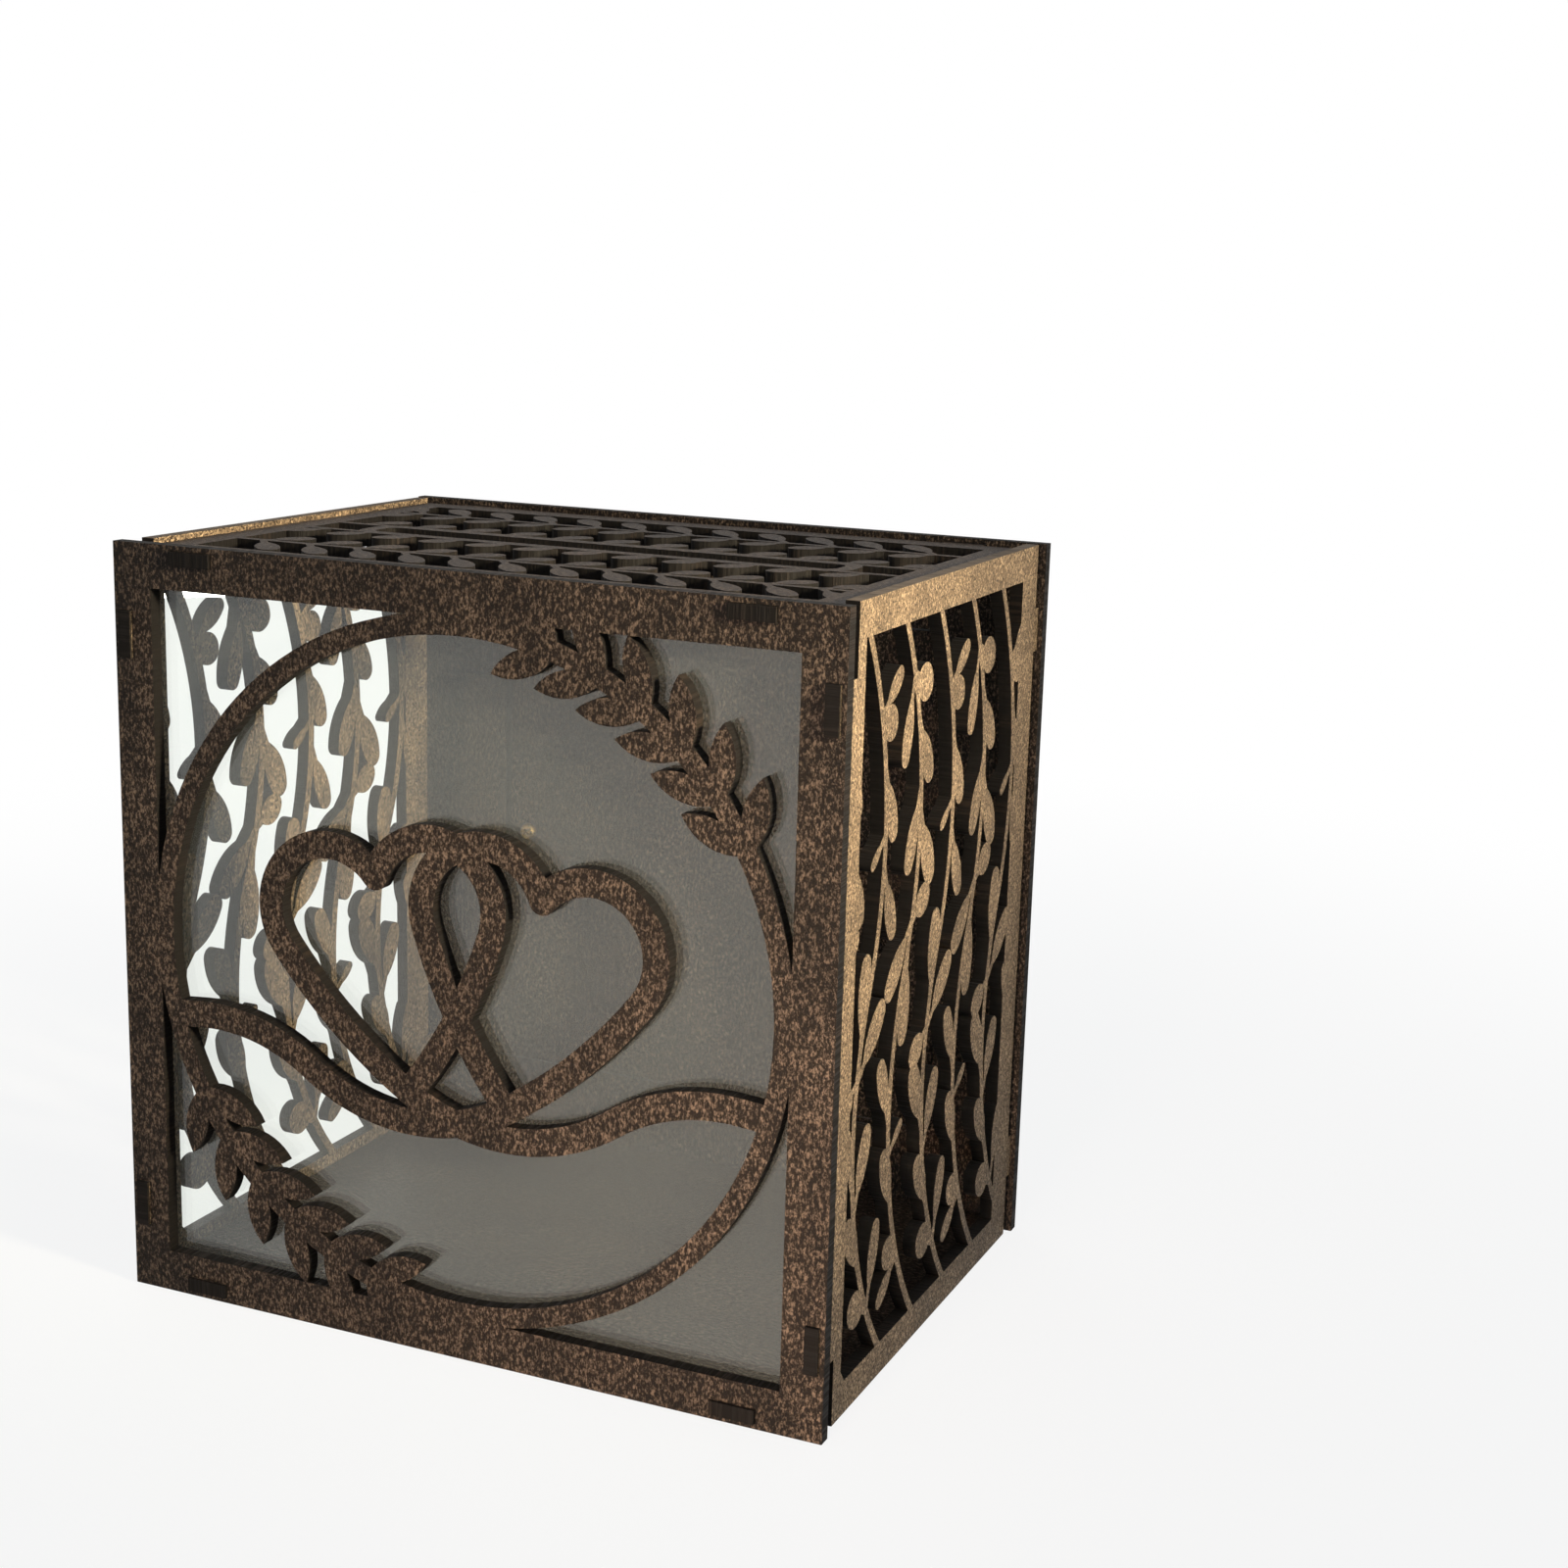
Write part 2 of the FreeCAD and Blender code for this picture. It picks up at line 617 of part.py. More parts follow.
def magnets(y_near):
    """Row of magnets."""
    return Part.makeCompound(
        [across_back(MAGNET_RADIUS, MAGNET_X, z, y_near, y_near + MAGNET_THICK) for z in MAGNET_HEIGHTS])


def rear_door():
    """Door leaf, with pockets for the magnets and holes for the hinges and the knob."""
    outline = rounded_rectangle(
        0, MIDDLE_Z, DOOR_OPENING_WIDTH - 2 * DOOR_GAP, DOOR_OPENING_HEIGHT - 2 * DOOR_GAP,
        DOOR_CORNER - DOOR_GAP)
    leaf = facing_front(sheet(outline), BACK_INNER_Y)
    knob_hole = across_back(KNOB_SCREW_RADIUS + KNOB_SCREW_PLAY, KNOB_X, MIDDLE_Z, BACK_INNER_Y, BACK_Y)
    pockets = magnet_pockets(BACK_INNER_Y, BACK_INNER_Y + MAGNET_SINK + MAGNET_THICK)
    return leaf.cut(screw_pilots(-1) + pockets + [knob_hole]).Solids[0]


def door_stop():
    """Strip glued inside the back, which the free edge of the door shuts against."""
    left = -DOOR_HALF + STOP_LAP - STOP_WIDTH
    strip = rectangle(
        left, MIDDLE_Z - STOP_HEIGHT / 2, left + STOP_WIDTH, MIDDLE_Z + STOP_HEIGHT / 2)
    board = facing_front(sheet(strip), BACK_INNER_Y - SHEET)
    pockets = magnet_pockets(BACK_INNER_Y - MAGNET_SINK - MAGNET_THICK, BACK_INNER_Y)
    return board.cut(pockets).Solids[0]


def hinge_leaf(height, side):
    """Hinge leaf, with the outer knuckles for the frame, side 1, or the middle one for the door, -1."""
    third = HINGE_HEIGHT / 3
    low = height - HINGE_HEIGHT / 2
    if side == 1:
        knuckles = [(low, low + third - KNUCKLE_PLAY / 2)]
        knuckles.append((low + 2 * third + KNUCKLE_PLAY / 2, low + HINGE_HEIGHT))
    else:
        knuckles = [(low + third + KNUCKLE_PLAY / 2, low + 2 * third - KNUCKLE_PLAY / 2)]
    root = KNUCKLE_RADIUS + KNUCKLE_PLAY
    plate_near = min(side * root, side * LEAF_WIDTH)
    leaf = Part.makeBox(
        LEAF_WIDTH - root, LEAF_THICK, HINGE_HEIGHT, V(HINGE_X + plate_near, BACK_Y, low))
    for bottom, top in knuckles:
        barrel = Part.makeCylinder(KNUCKLE_RADIUS, top - bottom, V(HINGE_X, HINGE_Y, bottom))
        strap_near = HINGE_X + min(0, side * root)
        strap = Part.makeBox(root, LEAF_THICK, top - bottom, V(strap_near, BACK_Y, bottom))
        leaf = leaf.fuse([barrel, strap])
    bore = Part.makeCylinder(PIN_RADIUS + PIN_PLAY, HINGE_HEIGHT, V(HINGE_X, HINGE_Y, low))
    holes = []
    for x, z in screw_places(side):
        holes.append(across_back(SCREW_RADIUS + SCREW_PLAY, x, z, BACK_Y, BACK_Y + LEAF_THICK))
    return leaf.cut([bore] + holes).removeSplitter().Solids[0]


def hinge_pin(height):
    """Pin with a button head at both ends."""
    low = height - HINGE_HEIGHT / 2
    pin = Part.makeCylinder(PIN_RADIUS, HINGE_HEIGHT, V(HINGE_X, HINGE_Y, low))
    lower_head = Part.makeCylinder(PIN_HEAD_RADIUS, PIN_HEAD, V(HINGE_X, HINGE_Y, low - PIN_HEAD))
    upper_head = Part.makeCylinder(PIN_HEAD_RADIUS, PIN_HEAD, V(HINGE_X, HINGE_Y, low + HINGE_HEIGHT))
    return pin.fuse([lower_head, upper_head]).Solids[0]


def hinge_screws(side):
    """Screws of both hinges, on the frame or on the door."""
    screws = []
    seat = BACK_Y + LEAF_THICK
    for x, z in screw_places(side):
        shank = across_back(SCREW_RADIUS, x, z, BACK_Y - SCREW_DEPTH, seat)
        head = across_back(SCREW_HEAD_RADIUS, x, z, seat, seat + SCREW_HEAD)
        screws.append(shank.fuse(head).Solids[0])
    return Part.makeCompound(screws)


def dome(rim, base, rise):
    """Arc of a profile from a rim to the axis, part of a ball, upwards or downwards."""
    ball = (rim ** 2 + rise ** 2) / (2 * abs(rise))
    half = math.asin(rim / ball) / 2
    sag = math.copysign(ball * (1 - math.cos(half)), rise)
    return Part.Arc(V(rim, base, 0), V(ball * math.sin(half), base + rise - sag, 0), V(0, base + rise, 0))


def pull_knob():
    """Turned knob: foot, waist and a round head, bored for its screw."""
    bore = KNOB_SCREW_RADIUS + KNOB_SCREW_PLAY
    depth = KNOB_SCREW_GRIP + KNOB_SCREW_PLAY
    neck = V(KNOB_NECK_RADIUS, KNOB_FOOT + KNOB_WAIST / 2, 0)
    under = V(KNOB_FOOT_RADIUS, KNOB_FOOT + KNOB_WAIST, 0)
    rim = V(KNOB_RADIUS, (under.y + KNOB_REACH - KNOB_CROWN) / 2, 0)
    shoulder = V(KNOB_FOOT_RADIUS, KNOB_REACH - KNOB_CROWN, 0)
    profile = (
        Part.LineSegment(V(bore, 0, 0), V(KNOB_FOOT_RADIUS, 0, 0)),
        Part.LineSegment(V(KNOB_FOOT_RADIUS, 0, 0), V(KNOB_FOOT_RADIUS, KNOB_FOOT, 0)),
        Part.Arc(V(KNOB_FOOT_RADIUS, KNOB_FOOT, 0), neck, under),
        Part.Arc(under, rim, shoulder),
        dome(KNOB_FOOT_RADIUS, shoulder.y, KNOB_CROWN),
        Part.LineSegment(V(0, KNOB_REACH, 0), V(0, depth, 0)),
        Part.LineSegment(V(0, depth, 0), V(bore, depth, 0)),
        Part.LineSegment(V(bore, depth, 0), V(bore, 0, 0)),
    )
    return turned(profile, KNOB_X, MIDDLE_Z, BACK_Y)


def knob_screw():
    """Screw through the door into the knob, with its domed head inside."""
    length = SHEET + KNOB_SCREW_GRIP
    profile = (
        dome(KNOB_SCREW_HEAD_RADIUS, 0, -KNOB_SCREW_HEAD),
        Part.LineSegment(V(0, -KNOB_SCREW_HEAD, 0), V(0, length, 0)),
        Part.LineSegment(V(0, length, 0), V(KNOB_SCREW_RADIUS, length, 0)),
        Part.LineSegment(V(KNOB_SCREW_RADIUS, length, 0), V(KNOB_SCREW_RADIUS, 0, 0)),
        Part.LineSegment(V(KNOB_SCREW_RADIUS, 0, 0), V(KNOB_SCREW_HEAD_RADIUS, 0, 0)),
    )
    return turned(profile, KNOB_X, MIDDLE_Z, BACK_INNER_Y)


PARTS = {
    "front_panel": front_panel(),
    "front_pane": front_pane(),
    "left_wall": side_wall(-WALL_OUTER_X),
    "right_wall": side_wall(WALL_INNER_X),
    "top_panel": top_panel(),
    "floor_panel": floor_panel(),
    "back_panel": back_panel(),
    "door_stop": door_stop(),
    "stop_magnets": magnets(BACK_INNER_Y - MAGNET_SINK - MAGNET_THICK),
    "frame_hinge_screws": hinge_screws(1),
    "rear_door": rear_door(),
    "door_magnets": magnets(BACK_INNER_Y + MAGNET_SINK),
    "door_hinge_screws": hinge_screws(-1),
    "pull_knob": pull_knob(),
    "knob_screw": knob_screw(),
}
for place, height in HINGE_HEIGHTS.items():
    PARTS[place + "_hinge_frame_leaf"] = hinge_leaf(height, 1)
    PARTS[place + "_hinge_door_leaf"] = hinge_leaf(height, -1)
    PARTS[place + "_hinge_pin"] = hinge_pin(height)

os.makedirs("parts", exist_ok=True)
for name, shape in PARTS.items():
    shape.exportStep("parts/%s.step" % name)
    print(name, len(shape.Solids), "solids", round(shape.Volume, 1), "mm3, valid", shape.isValid())
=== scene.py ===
"""Card box of stained, laser-cut board: finishes for its solids, screws, light and camera."""
import math
from typing import NamedTuple

import bmesh
import bpy
from mathutils import Matrix, Vector


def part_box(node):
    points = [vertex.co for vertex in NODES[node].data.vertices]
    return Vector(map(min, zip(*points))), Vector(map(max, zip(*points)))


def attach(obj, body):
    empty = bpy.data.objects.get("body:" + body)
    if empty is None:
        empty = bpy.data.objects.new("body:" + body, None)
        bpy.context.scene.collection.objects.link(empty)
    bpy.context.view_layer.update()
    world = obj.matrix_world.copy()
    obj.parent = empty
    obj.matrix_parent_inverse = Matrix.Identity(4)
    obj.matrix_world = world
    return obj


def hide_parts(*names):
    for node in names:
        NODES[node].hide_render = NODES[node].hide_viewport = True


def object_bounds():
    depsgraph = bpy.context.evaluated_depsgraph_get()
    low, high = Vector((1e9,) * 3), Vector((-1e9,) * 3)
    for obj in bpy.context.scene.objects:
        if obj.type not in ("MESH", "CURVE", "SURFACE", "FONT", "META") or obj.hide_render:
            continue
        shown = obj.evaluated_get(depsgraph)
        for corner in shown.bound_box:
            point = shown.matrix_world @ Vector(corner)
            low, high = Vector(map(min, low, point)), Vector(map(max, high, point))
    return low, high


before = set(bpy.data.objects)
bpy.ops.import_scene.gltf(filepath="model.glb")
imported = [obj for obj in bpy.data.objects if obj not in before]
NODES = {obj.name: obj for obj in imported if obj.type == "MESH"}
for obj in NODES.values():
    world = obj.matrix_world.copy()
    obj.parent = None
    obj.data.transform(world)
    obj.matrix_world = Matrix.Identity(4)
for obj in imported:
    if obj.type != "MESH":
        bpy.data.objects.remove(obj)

bl_info = {
    "name": "Card Box Dresser",
    "version": (1, 0, 0),
    "blender": (4, 5, 0),
    "location": "View3D > Sidebar > Card Box",
    "description": "Stains the boards of a pierced card box, fits its screws and sets the stage",
    "category": "Object",
}

CAD_BOX = [list(corner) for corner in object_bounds()]
MM = 0.001

PANELS = ("front_panel", "back_panel", "rear_door", "door_stop")
WALLS = ("left_wall", "right_wall")
HINGES = ("upper", "lower")
HINGE_PARTS = ("frame_leaf", "door_leaf", "pin")
MAGNETS = ("stop_magnets", "door_magnets")


# Recipes of the finishes

class Pattern(NamedTuple):
    """Noise with its scale per metre, and the band of its values that is spread over a range."""

    scale: float
    detail: float
    roughness: float
    low: float
    high: float
    to_low: float = 0.0
    to_high: float = 1.0


# Stained faces
STRANDS = Pattern(scale=1100.0, detail=3.0, roughness=0.75, low=0.45, high=0.68)
PORES = Pattern(scale=1250.0, detail=2.0, roughness=0.6, low=0.51, high=0.60)
MOTTLING = Pattern(
    scale=42.0, detail=4.0, roughness=0.6, low=0.30, high=0.70, to_low=0.74, to_high=1.24)
BROAD_SHADES = Pattern(
    scale=9.0, detail=2.0, roughness=0.5, low=0.35, high=0.65, to_low=0.86, to_high=1.12)
STAIN_ROUGHNESS = 0.62
FIBRE_GLOSS = 0.14
FIBRE_RISE = 0.6

# Cut edges
CUTTING_LINES = Pattern(scale=900.0, detail=2.0, roughness=0.6, low=0.38, high=0.66)
EMBERS = Pattern(scale=70.0, detail=3.0, roughness=0.6, low=0.45, high=0.75)
# Patches of colour on upward cut edges near the top: partly dust, partly painted sheen.
DUST_AND_SHEEN_PATCHES = Pattern(scale=240.0, detail=4.0, roughness=0.7, low=0.3, high=0.6, to_low=0.5)
CHAR_ROUGHNESS = 0.85
LINE_GLOSS = 0.2
LINE_STRETCH = 0.95
EDGE_TO_FACE = (0.55, 0.85)
SIDE_TO_UPWARD = (0.55, 0.95)
DUST_AND_SHEEN_BELOW_TOP = (4 * MM, 1 * MM)
TAB_STEP = 0.2 * MM
# Share of the face colour kept on the tabs proud of front and back; char makes up the rest, as
# painted shade.
TAB_FACE_UNDER_PAINTED_SHADE = 0.6

# Metal
TARNISH_CLOUDS = Pattern(scale=110.0, detail=5.0, roughness=0.7, low=0.28, high=0.74)
TARNISH_SPOTS = Pattern(scale=1300.0, detail=2.0, roughness=0.5, low=0.62, high=0.74, to_high=0.8)
METAL_ROUGHNESS = 0.24
TARNISH_ROUGHNESS = 0.30
HINGE_SCREW_AGE = 0.7
KNOB_SCREW_AGE = 0.5

# Pane
PANE_SPECKS = Pattern(scale=420.0, detail=2.0, roughness=0.6, low=0.70, high=0.80)
PANE_STREAKS = Pattern(scale=22.0, detail=5.0, roughness=0.65, low=0.45, high=0.72)
STREAK_ROUGHNESS = 0.012
WIPING_STRETCH = (1.0, 1.0, 0.4)
ACRYLIC_IOR = 1.49

# Strength of the relief and of the mirror-like share
BOARD_BUMP = 0.5
METAL_BUMP = 0.25
PANE_BUMP = 0.3
BOARD_SPECULAR = 0.1


class Board(NamedTuple):
    """How a kind of board lies, and how much of its fibres, pores and dust shows."""

    thickness_axis: tuple
    fibre_stretch: tuple
    fibre_share: float
    pore_share: float
    dust_and_sheen_share: float = 0.0


UPRIGHT_PANEL = Board((0, 1, 0), (1, 1, 0.55), fibre_share=0.9, pore_share=0.7)
FLOOR_BOARD = Board((0, 0, 1), (0.5, 1, 1), fibre_share=0.75, pore_share=0.6)
SIDE_WALL = Board((1, 0, 0), (1, 1, 0.8), fibre_share=0.9, pore_share=0.95, dust_and_sheen_share=0.9)
TOP_BOARD = Board((0, 0, 1), (0.5, 1, 1), fibre_share=0.8, pore_share=0.6)


# Screw shape, in shares of the head's height or radius, or of the shank's length or radius

HEAD_SIDES = 40
DOME_SHARE = 0.75
DOME_STEPS = 5
DOME_PROFILE = 0.6
POINT_SHARE = 0.3
TIP_SHARE = 0.2
CROSS_LENGTH = 1.25
CROSS_WIDTH = 0.26
CROSS_DEPTH = 0.62
CROSS_TAPER = 0.72
SMOOTH_ANGLE = math.radians(35)

# Turn of the cross in each screw, so that no two hinge screws stop alike
FIRST_TURN = 0.4
NEXT_TURN = 1.1
KNOB_SCREW_TURN = 0.7

UP = Vector((0, 0, 1))
BACKWARD = Vector((0, 1, 0))
FORWARD = Vector((0, -1, 0))
FLAT = 0.99
SAME_HEIGHT = 0.999
WELD = 1e-6


# Stage

class Lamp(NamedTuple):
    """Rectangular lamp: where it hangs, what it faces and how it shines."""

    name: str
    place: tuple
    target: tuple
    width: float
    height: float
    power: float
    colour: tuple
    spread: float = math.pi


BOX_MIDDLE = (0.0, 0.0, 0.12)
LAMPS = (
    Lamp(
        "Sun patch", place=(1.1, -0.28, 0.50), target=(0.125, -0.09, 0.25), width=0.14, height=0.14,
        power=1.15, colour=(1.0, 0.88, 0.62), spread=math.radians(24)),
    Lamp(
        "Side lamp", place=(1.5, 0.35, 0.9), target=BOX_MIDDLE, width=0.8, height=0.8,
        power=1.1, colour=(1.0, 0.93, 0.88)),
    Lamp(
        "Front lamp", place=(0.12, -1.15, 0.10), target=(0.14, -0.1, 0.03), width=0.3, height=0.3,
        power=0.9, colour=(1.0, 0.78, 0.58), spread=math.radians(25)),
    Lamp(
        "Back lamp", place=(-1.0, 1.0, 0.13), target=BOX_MIDDLE, width=0.9, height=0.2,
        power=11.0, colour=(1.0, 0.96, 0.92)),
)

FLOOR_DROP = 0.3 * MM
FLOOR_TONES = Pattern(scale=3.0, detail=2.0, roughness=0.5, low=0.3, high=0.7)
FLOOR_SHADE = 0.97
FLOOR_ROUGHNESS = 0.9
WHITENING_REACH = (0.25, 0.9)
WHITE_NEAR_BOX = 0.86
ALL_WHITE = 1.0
SENSOR_WIDTH = 36.0
CLIP_RANGE = (0.01, 50.0)


# Node building

VECTOR, COLOUR, VALUE = "NodeSocketVector", "NodeSocketColor", "NodeSocketFloat"

# The Mix node's sockets: share, first and second, and the one that comes out
COLOUR_SOCKETS = (0, 6, 7, 2)
VALUE_SOCKETS = (0, 2, 3, 0)


def add_node(tree, kind, inputs=None, **settings):
    """New node with its settings; each input takes a link or a plain value."""
    node = tree.nodes.new(kind)
    for name, value in settings.items():
        setattr(node, name, value)
    for name, value in (inputs or {}).items():
        if isinstance(value, bpy.types.NodeSocket):
            tree.links.new(value, node.inputs[name])
        else:
            node.inputs[name].default_value = value
    return node


def noise(tree, vector, scale, detail, roughness):
    """Factor of a noise texture over a vector."""
    node = add_node(tree, "ShaderNodeTexNoise", {
        "Vector": vector, "Scale": scale, "Detail": detail, "Roughness": roughness})
    return node.outputs["Fac"]


def remap(tree, value, low, high, to_low=0.0, to_high=1.0):
    """Value moved from one range to another, smoothly and within it."""
    node = add_node(
        tree, "ShaderNodeMapRange",
        {"Value": value, "From Min": low, "From Max": high, "To Min": to_low, "To Max": to_high},
        interpolation_type="SMOOTHSTEP")
    return node.outputs["Result"]


def patterned(tree, vector, pattern):
    """Noise pattern over a vector."""
    factor = noise(tree, vector, pattern.scale, pattern.detail, pattern.roughness)
    return remap(tree, factor, pattern.low, pattern.high, pattern.to_low, pattern.to_high)


def combine(tree, operation, *values):
    """Outputs and plain numbers joined by arithmetic."""
    node = add_node(tree, "ShaderNodeMath", dict(enumerate(values)), operation=operation)
    return node.outputs["Value"]


def axis_part(tree, vector, axis):
    """Part of a vector along X, Y or Z."""
    return add_node(tree, "ShaderNodeSeparateXYZ", {"Vector": vector}).outputs[axis]


def blend_colours(tree, share, first, second, mode="MIX"):
    """Colour between two others, or one laid over the other."""
    share_in, first_in, second_in, result = COLOUR_SOCKETS
    node = add_node(
        tree, "ShaderNodeMix", {share_in: share, first_in: first, second_in: second},
        data_type="RGBA", blend_type=mode, clamp_factor=True)
    return node.outputs[result]


def blend_values(tree, share, first, second):
    """Value between two others."""
    share_in, first_in, second_in, result = VALUE_SOCKETS
    node = add_node(
        tree, "ShaderNodeMix", {share_in: share, first_in: first, second_in: second},
        data_type="FLOAT")
    return node.outputs[result]


def new_group(name, inputs):
    """Shader group that puts out a surface: its tree and the outputs of its start."""
    tree = bpy.data.node_groups.new(name, "ShaderNodeTree")
    for label, kind in inputs.items():
        tree.interface.new_socket(label, in_out="INPUT", socket_type=kind)
    for label, kind in (("Color", COLOUR), ("Roughness", VALUE), ("Height", VALUE)):
        tree.interface.new_socket(label, in_out="OUTPUT", socket_type=kind)
    return tree, tree.nodes.new("NodeGroupInput").outputs


def put_out(tree, colour, roughness, height):
    """Close a shader group with its surface and give the finished group."""
    add_node(
        tree, "NodeGroupOutput", {"Color": colour, "Roughness": roughness, "Height": height})
    return tree


def rgba(colour):
    """Colour with full alpha."""
    return (*colour, 1.0)


# Shared effects

def fibre_group():
    """Stained hardboard: short pale fibres, dark pores and soft mottling."""
    tree, given = new_group("Stained fibre", {
        "Vector": VECTOR, "Stain": COLOUR, "Fibre": COLOUR, "Pore": COLOUR,
        "Fibre Share": VALUE, "Pore Share": VALUE,
    })
    place = given["Vector"]
    strands = patterned(tree, place, STRANDS)
    pores = patterned(tree, place, PORES)
    pale = combine(tree, "MULTIPLY", strands, given["Fibre Share"])
    dark = combine(tree, "MULTIPLY", pores, given["Pore Share"])
    colour = blend_colours(tree, pale, given["Stain"], given["Fibre"])
    colour = blend_colours(tree, dark, colour, given["Pore"])
    level = combine(
        tree, "MULTIPLY", patterned(tree, place, MOTTLING), patterned(tree, place, BROAD_SHADES))
    shade = add_node(
        tree, "ShaderNodeCombineColor", {"Red": level, "Green": level, "Blue": level})
    return put_out(
        tree,
        blend_colours(tree, 1.0, colour, shade.outputs["Color"], "MULTIPLY"),
        combine(tree, "MULTIPLY_ADD", strands, -FIBRE_GLOSS, STAIN_ROUGHNESS),
        combine(tree, "SUBTRACT", combine(tree, "MULTIPLY", strands, FIBRE_RISE), pores))


def char_group():
    """Laser-cut edge: black-brown char with cutting lines through the board's thickness, and on
    upward edges a colour that is partly dust, partly painted sheen.
    """
    tree, given = new_group("Laser char", {
        "Vector": VECTOR, "Facing": VALUE, "Face Color": COLOUR, "Face Roughness": VALUE,
        "Face Height": VALUE, "Char": COLOUR, "Ember": COLOUR, "Up": VALUE, "Dust": COLOUR,
        "Dust And Sheen Share": VALUE,
    })
    place = given["Vector"]
    lines = patterned(tree, place, CUTTING_LINES)
    glow = combine(tree, "MULTIPLY", lines, patterned(tree, place, EMBERS))
    burnt = blend_colours(tree, glow, given["Char"], given["Ember"])
    dust_and_sheen = combine(
        tree, "MULTIPLY", remap(tree, given["Up"], *SIDE_TO_UPWARD),
        patterned(tree, place, DUST_AND_SHEEN_PATCHES))
    dust_and_sheen = combine(tree, "MULTIPLY", dust_and_sheen, given["Dust And Sheen Share"])
    burnt = blend_colours(tree, dust_and_sheen, burnt, given["Dust"])
    face = remap(tree, given["Facing"], *EDGE_TO_FACE)
    sooty = combine(tree, "MULTIPLY_ADD", lines, -LINE_GLOSS, CHAR_ROUGHNESS)
    return put_out(
        tree,
        blend_colours(tree, face, burnt, given["Face Color"]),
        blend_values(tree, face, sooty, given["Face Roughness"]),
        blend_values(tree, face, lines, given["Face Height"]))


def patina_group():
    """Aged metal: dark tarnish in clouds, fine spots and small scuffs."""
    tree, given = new_group("Patina", {
        "Vector": VECTOR, "Metal": COLOUR, "Tarnish": COLOUR, "Age": VALUE})
    place = given["Vector"]
    stains = combine(
        tree, "MAXIMUM", patterned(tree, place, TARNISH_CLOUDS),
        patterned(tree, place, TARNISH_SPOTS))
    age = combine(tree, "MULTIPLY", stains, given["Age"])
    return put_out(
        tree,
        blend_colours(tree, age, given["Metal"], given["Tarnish"]),
        combine(tree, "MULTIPLY_ADD", age, TARNISH_ROUGHNESS, METAL_ROUGHNESS),
        noise(tree, place, scale=3200.0, detail=1.0, roughness=0.5))


def smudge_group():
    """Handled clear sheet: faint dust, wiped streaks and slow waves."""
    tree, given = new_group("Smudges", {"Vector": VECTOR, "Clear": COLOUR, "Dust": COLOUR})
    place = given["Vector"]
    specks = patterned(tree, place, PANE_SPECKS)
    streaks = patterned(tree, place, PANE_STREAKS)
    return put_out(
        tree,
        blend_colours(tree, specks, given["Clear"], given["Dust"]),
        combine(tree, "MULTIPLY", streaks, STREAK_ROUGHNESS),
        noise(tree, place, scale=16.0, detail=1.0, roughness=0.4))


GROUP_BUILDERS = {
    "Stained fibre": fibre_group,
    "Laser char": char_group,
    "Patina": patina_group,
    "Smudges": smudge_group,
}


def effect(tree, name, inputs):
    """Outputs of a shared effect that is placed in a material with its own values."""
    group = bpy.data.node_groups.get(name) or GROUP_BUILDERS[name]()
    return add_node(tree, "ShaderNodeGroup", inputs, node_tree=group).outputs


# Materials

def new_material(name):
    """Plain node material, with its tree, its shader and the outputs of its coordinates."""
    material = bpy.data.materials.new(name)
    material.use_nodes = True
    tree = material.node_tree
    coordinates = tree.nodes.new("ShaderNodeTexCoord").outputs
    return material, tree, tree.nodes["Principled BSDF"], coordinates


def stretched(tree, coordinates, scale):
    """Object coordinates stretched along the axes."""
    mapping = add_node(
        tree, "ShaderNodeMapping", {"Vector": coordinates["Object"], "Scale": scale})
    return mapping.outputs["Vector"]


def lay(tree, shader, surface, relief, strength):
    """Give a shader the colour, roughness and fine relief of a surface."""
    bump = add_node(tree, "ShaderNodeBump", {
        "Strength": strength, "Distance": relief, "Height": surface["Height"]})
    tree.links.new(surface["Color"], shader.inputs["Base Color"])
    tree.links.new(surface["Roughness"], shader.inputs["Roughness"])
    tree.links.new(bump.outputs["Normal"], shader.inputs["Normal"])


def facing_along(tree, coordinates, axis):
    """How squarely a surface faces along an axis, either way."""
    along = add_node(
        tree, "ShaderNodeVectorMath", {0: coordinates["Normal"], 1: axis},
        operation="DOT_PRODUCT")
    return combine(tree, "ABSOLUTE", along.outputs["Value"])


def short_of_tabs(tree, coordinates):
    """Full as far as the outer faces of front and back, and less on the tabs proud of them, where
    char is mixed in as painted shade.
    """
    front_y, back_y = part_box("front_panel")[0].y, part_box("back_panel")[1].y
    middle, reach = (front_y + back_y) / 2, (back_y - front_y) / 2
    across = combine(tree, "SUBTRACT", axis_part(tree, coordinates["Object"], "Y"), middle)
    return remap(
        tree, combine(tree, "ABSOLUTE", across), reach, reach + TAB_STEP, 1.0, TAB_FACE_UNDER_PAINTED_SHADE)


# Mask for the colour on upward cut edges near the top: partly dust, partly painted sheen.
def upward_at_top(tree, coordinates):
    """How far a surface faces up, near the top of the box only."""
    band = [CAD_BOX[1][2] - depth for depth in DUST_AND_SHEEN_BELOW_TOP]
    near_top = remap(tree, axis_part(tree, coordinates["Object"], "Z"), *band)
    return combine(tree, "MULTIPLY", axis_part(tree, coordinates["Normal"], "Z"), near_top)


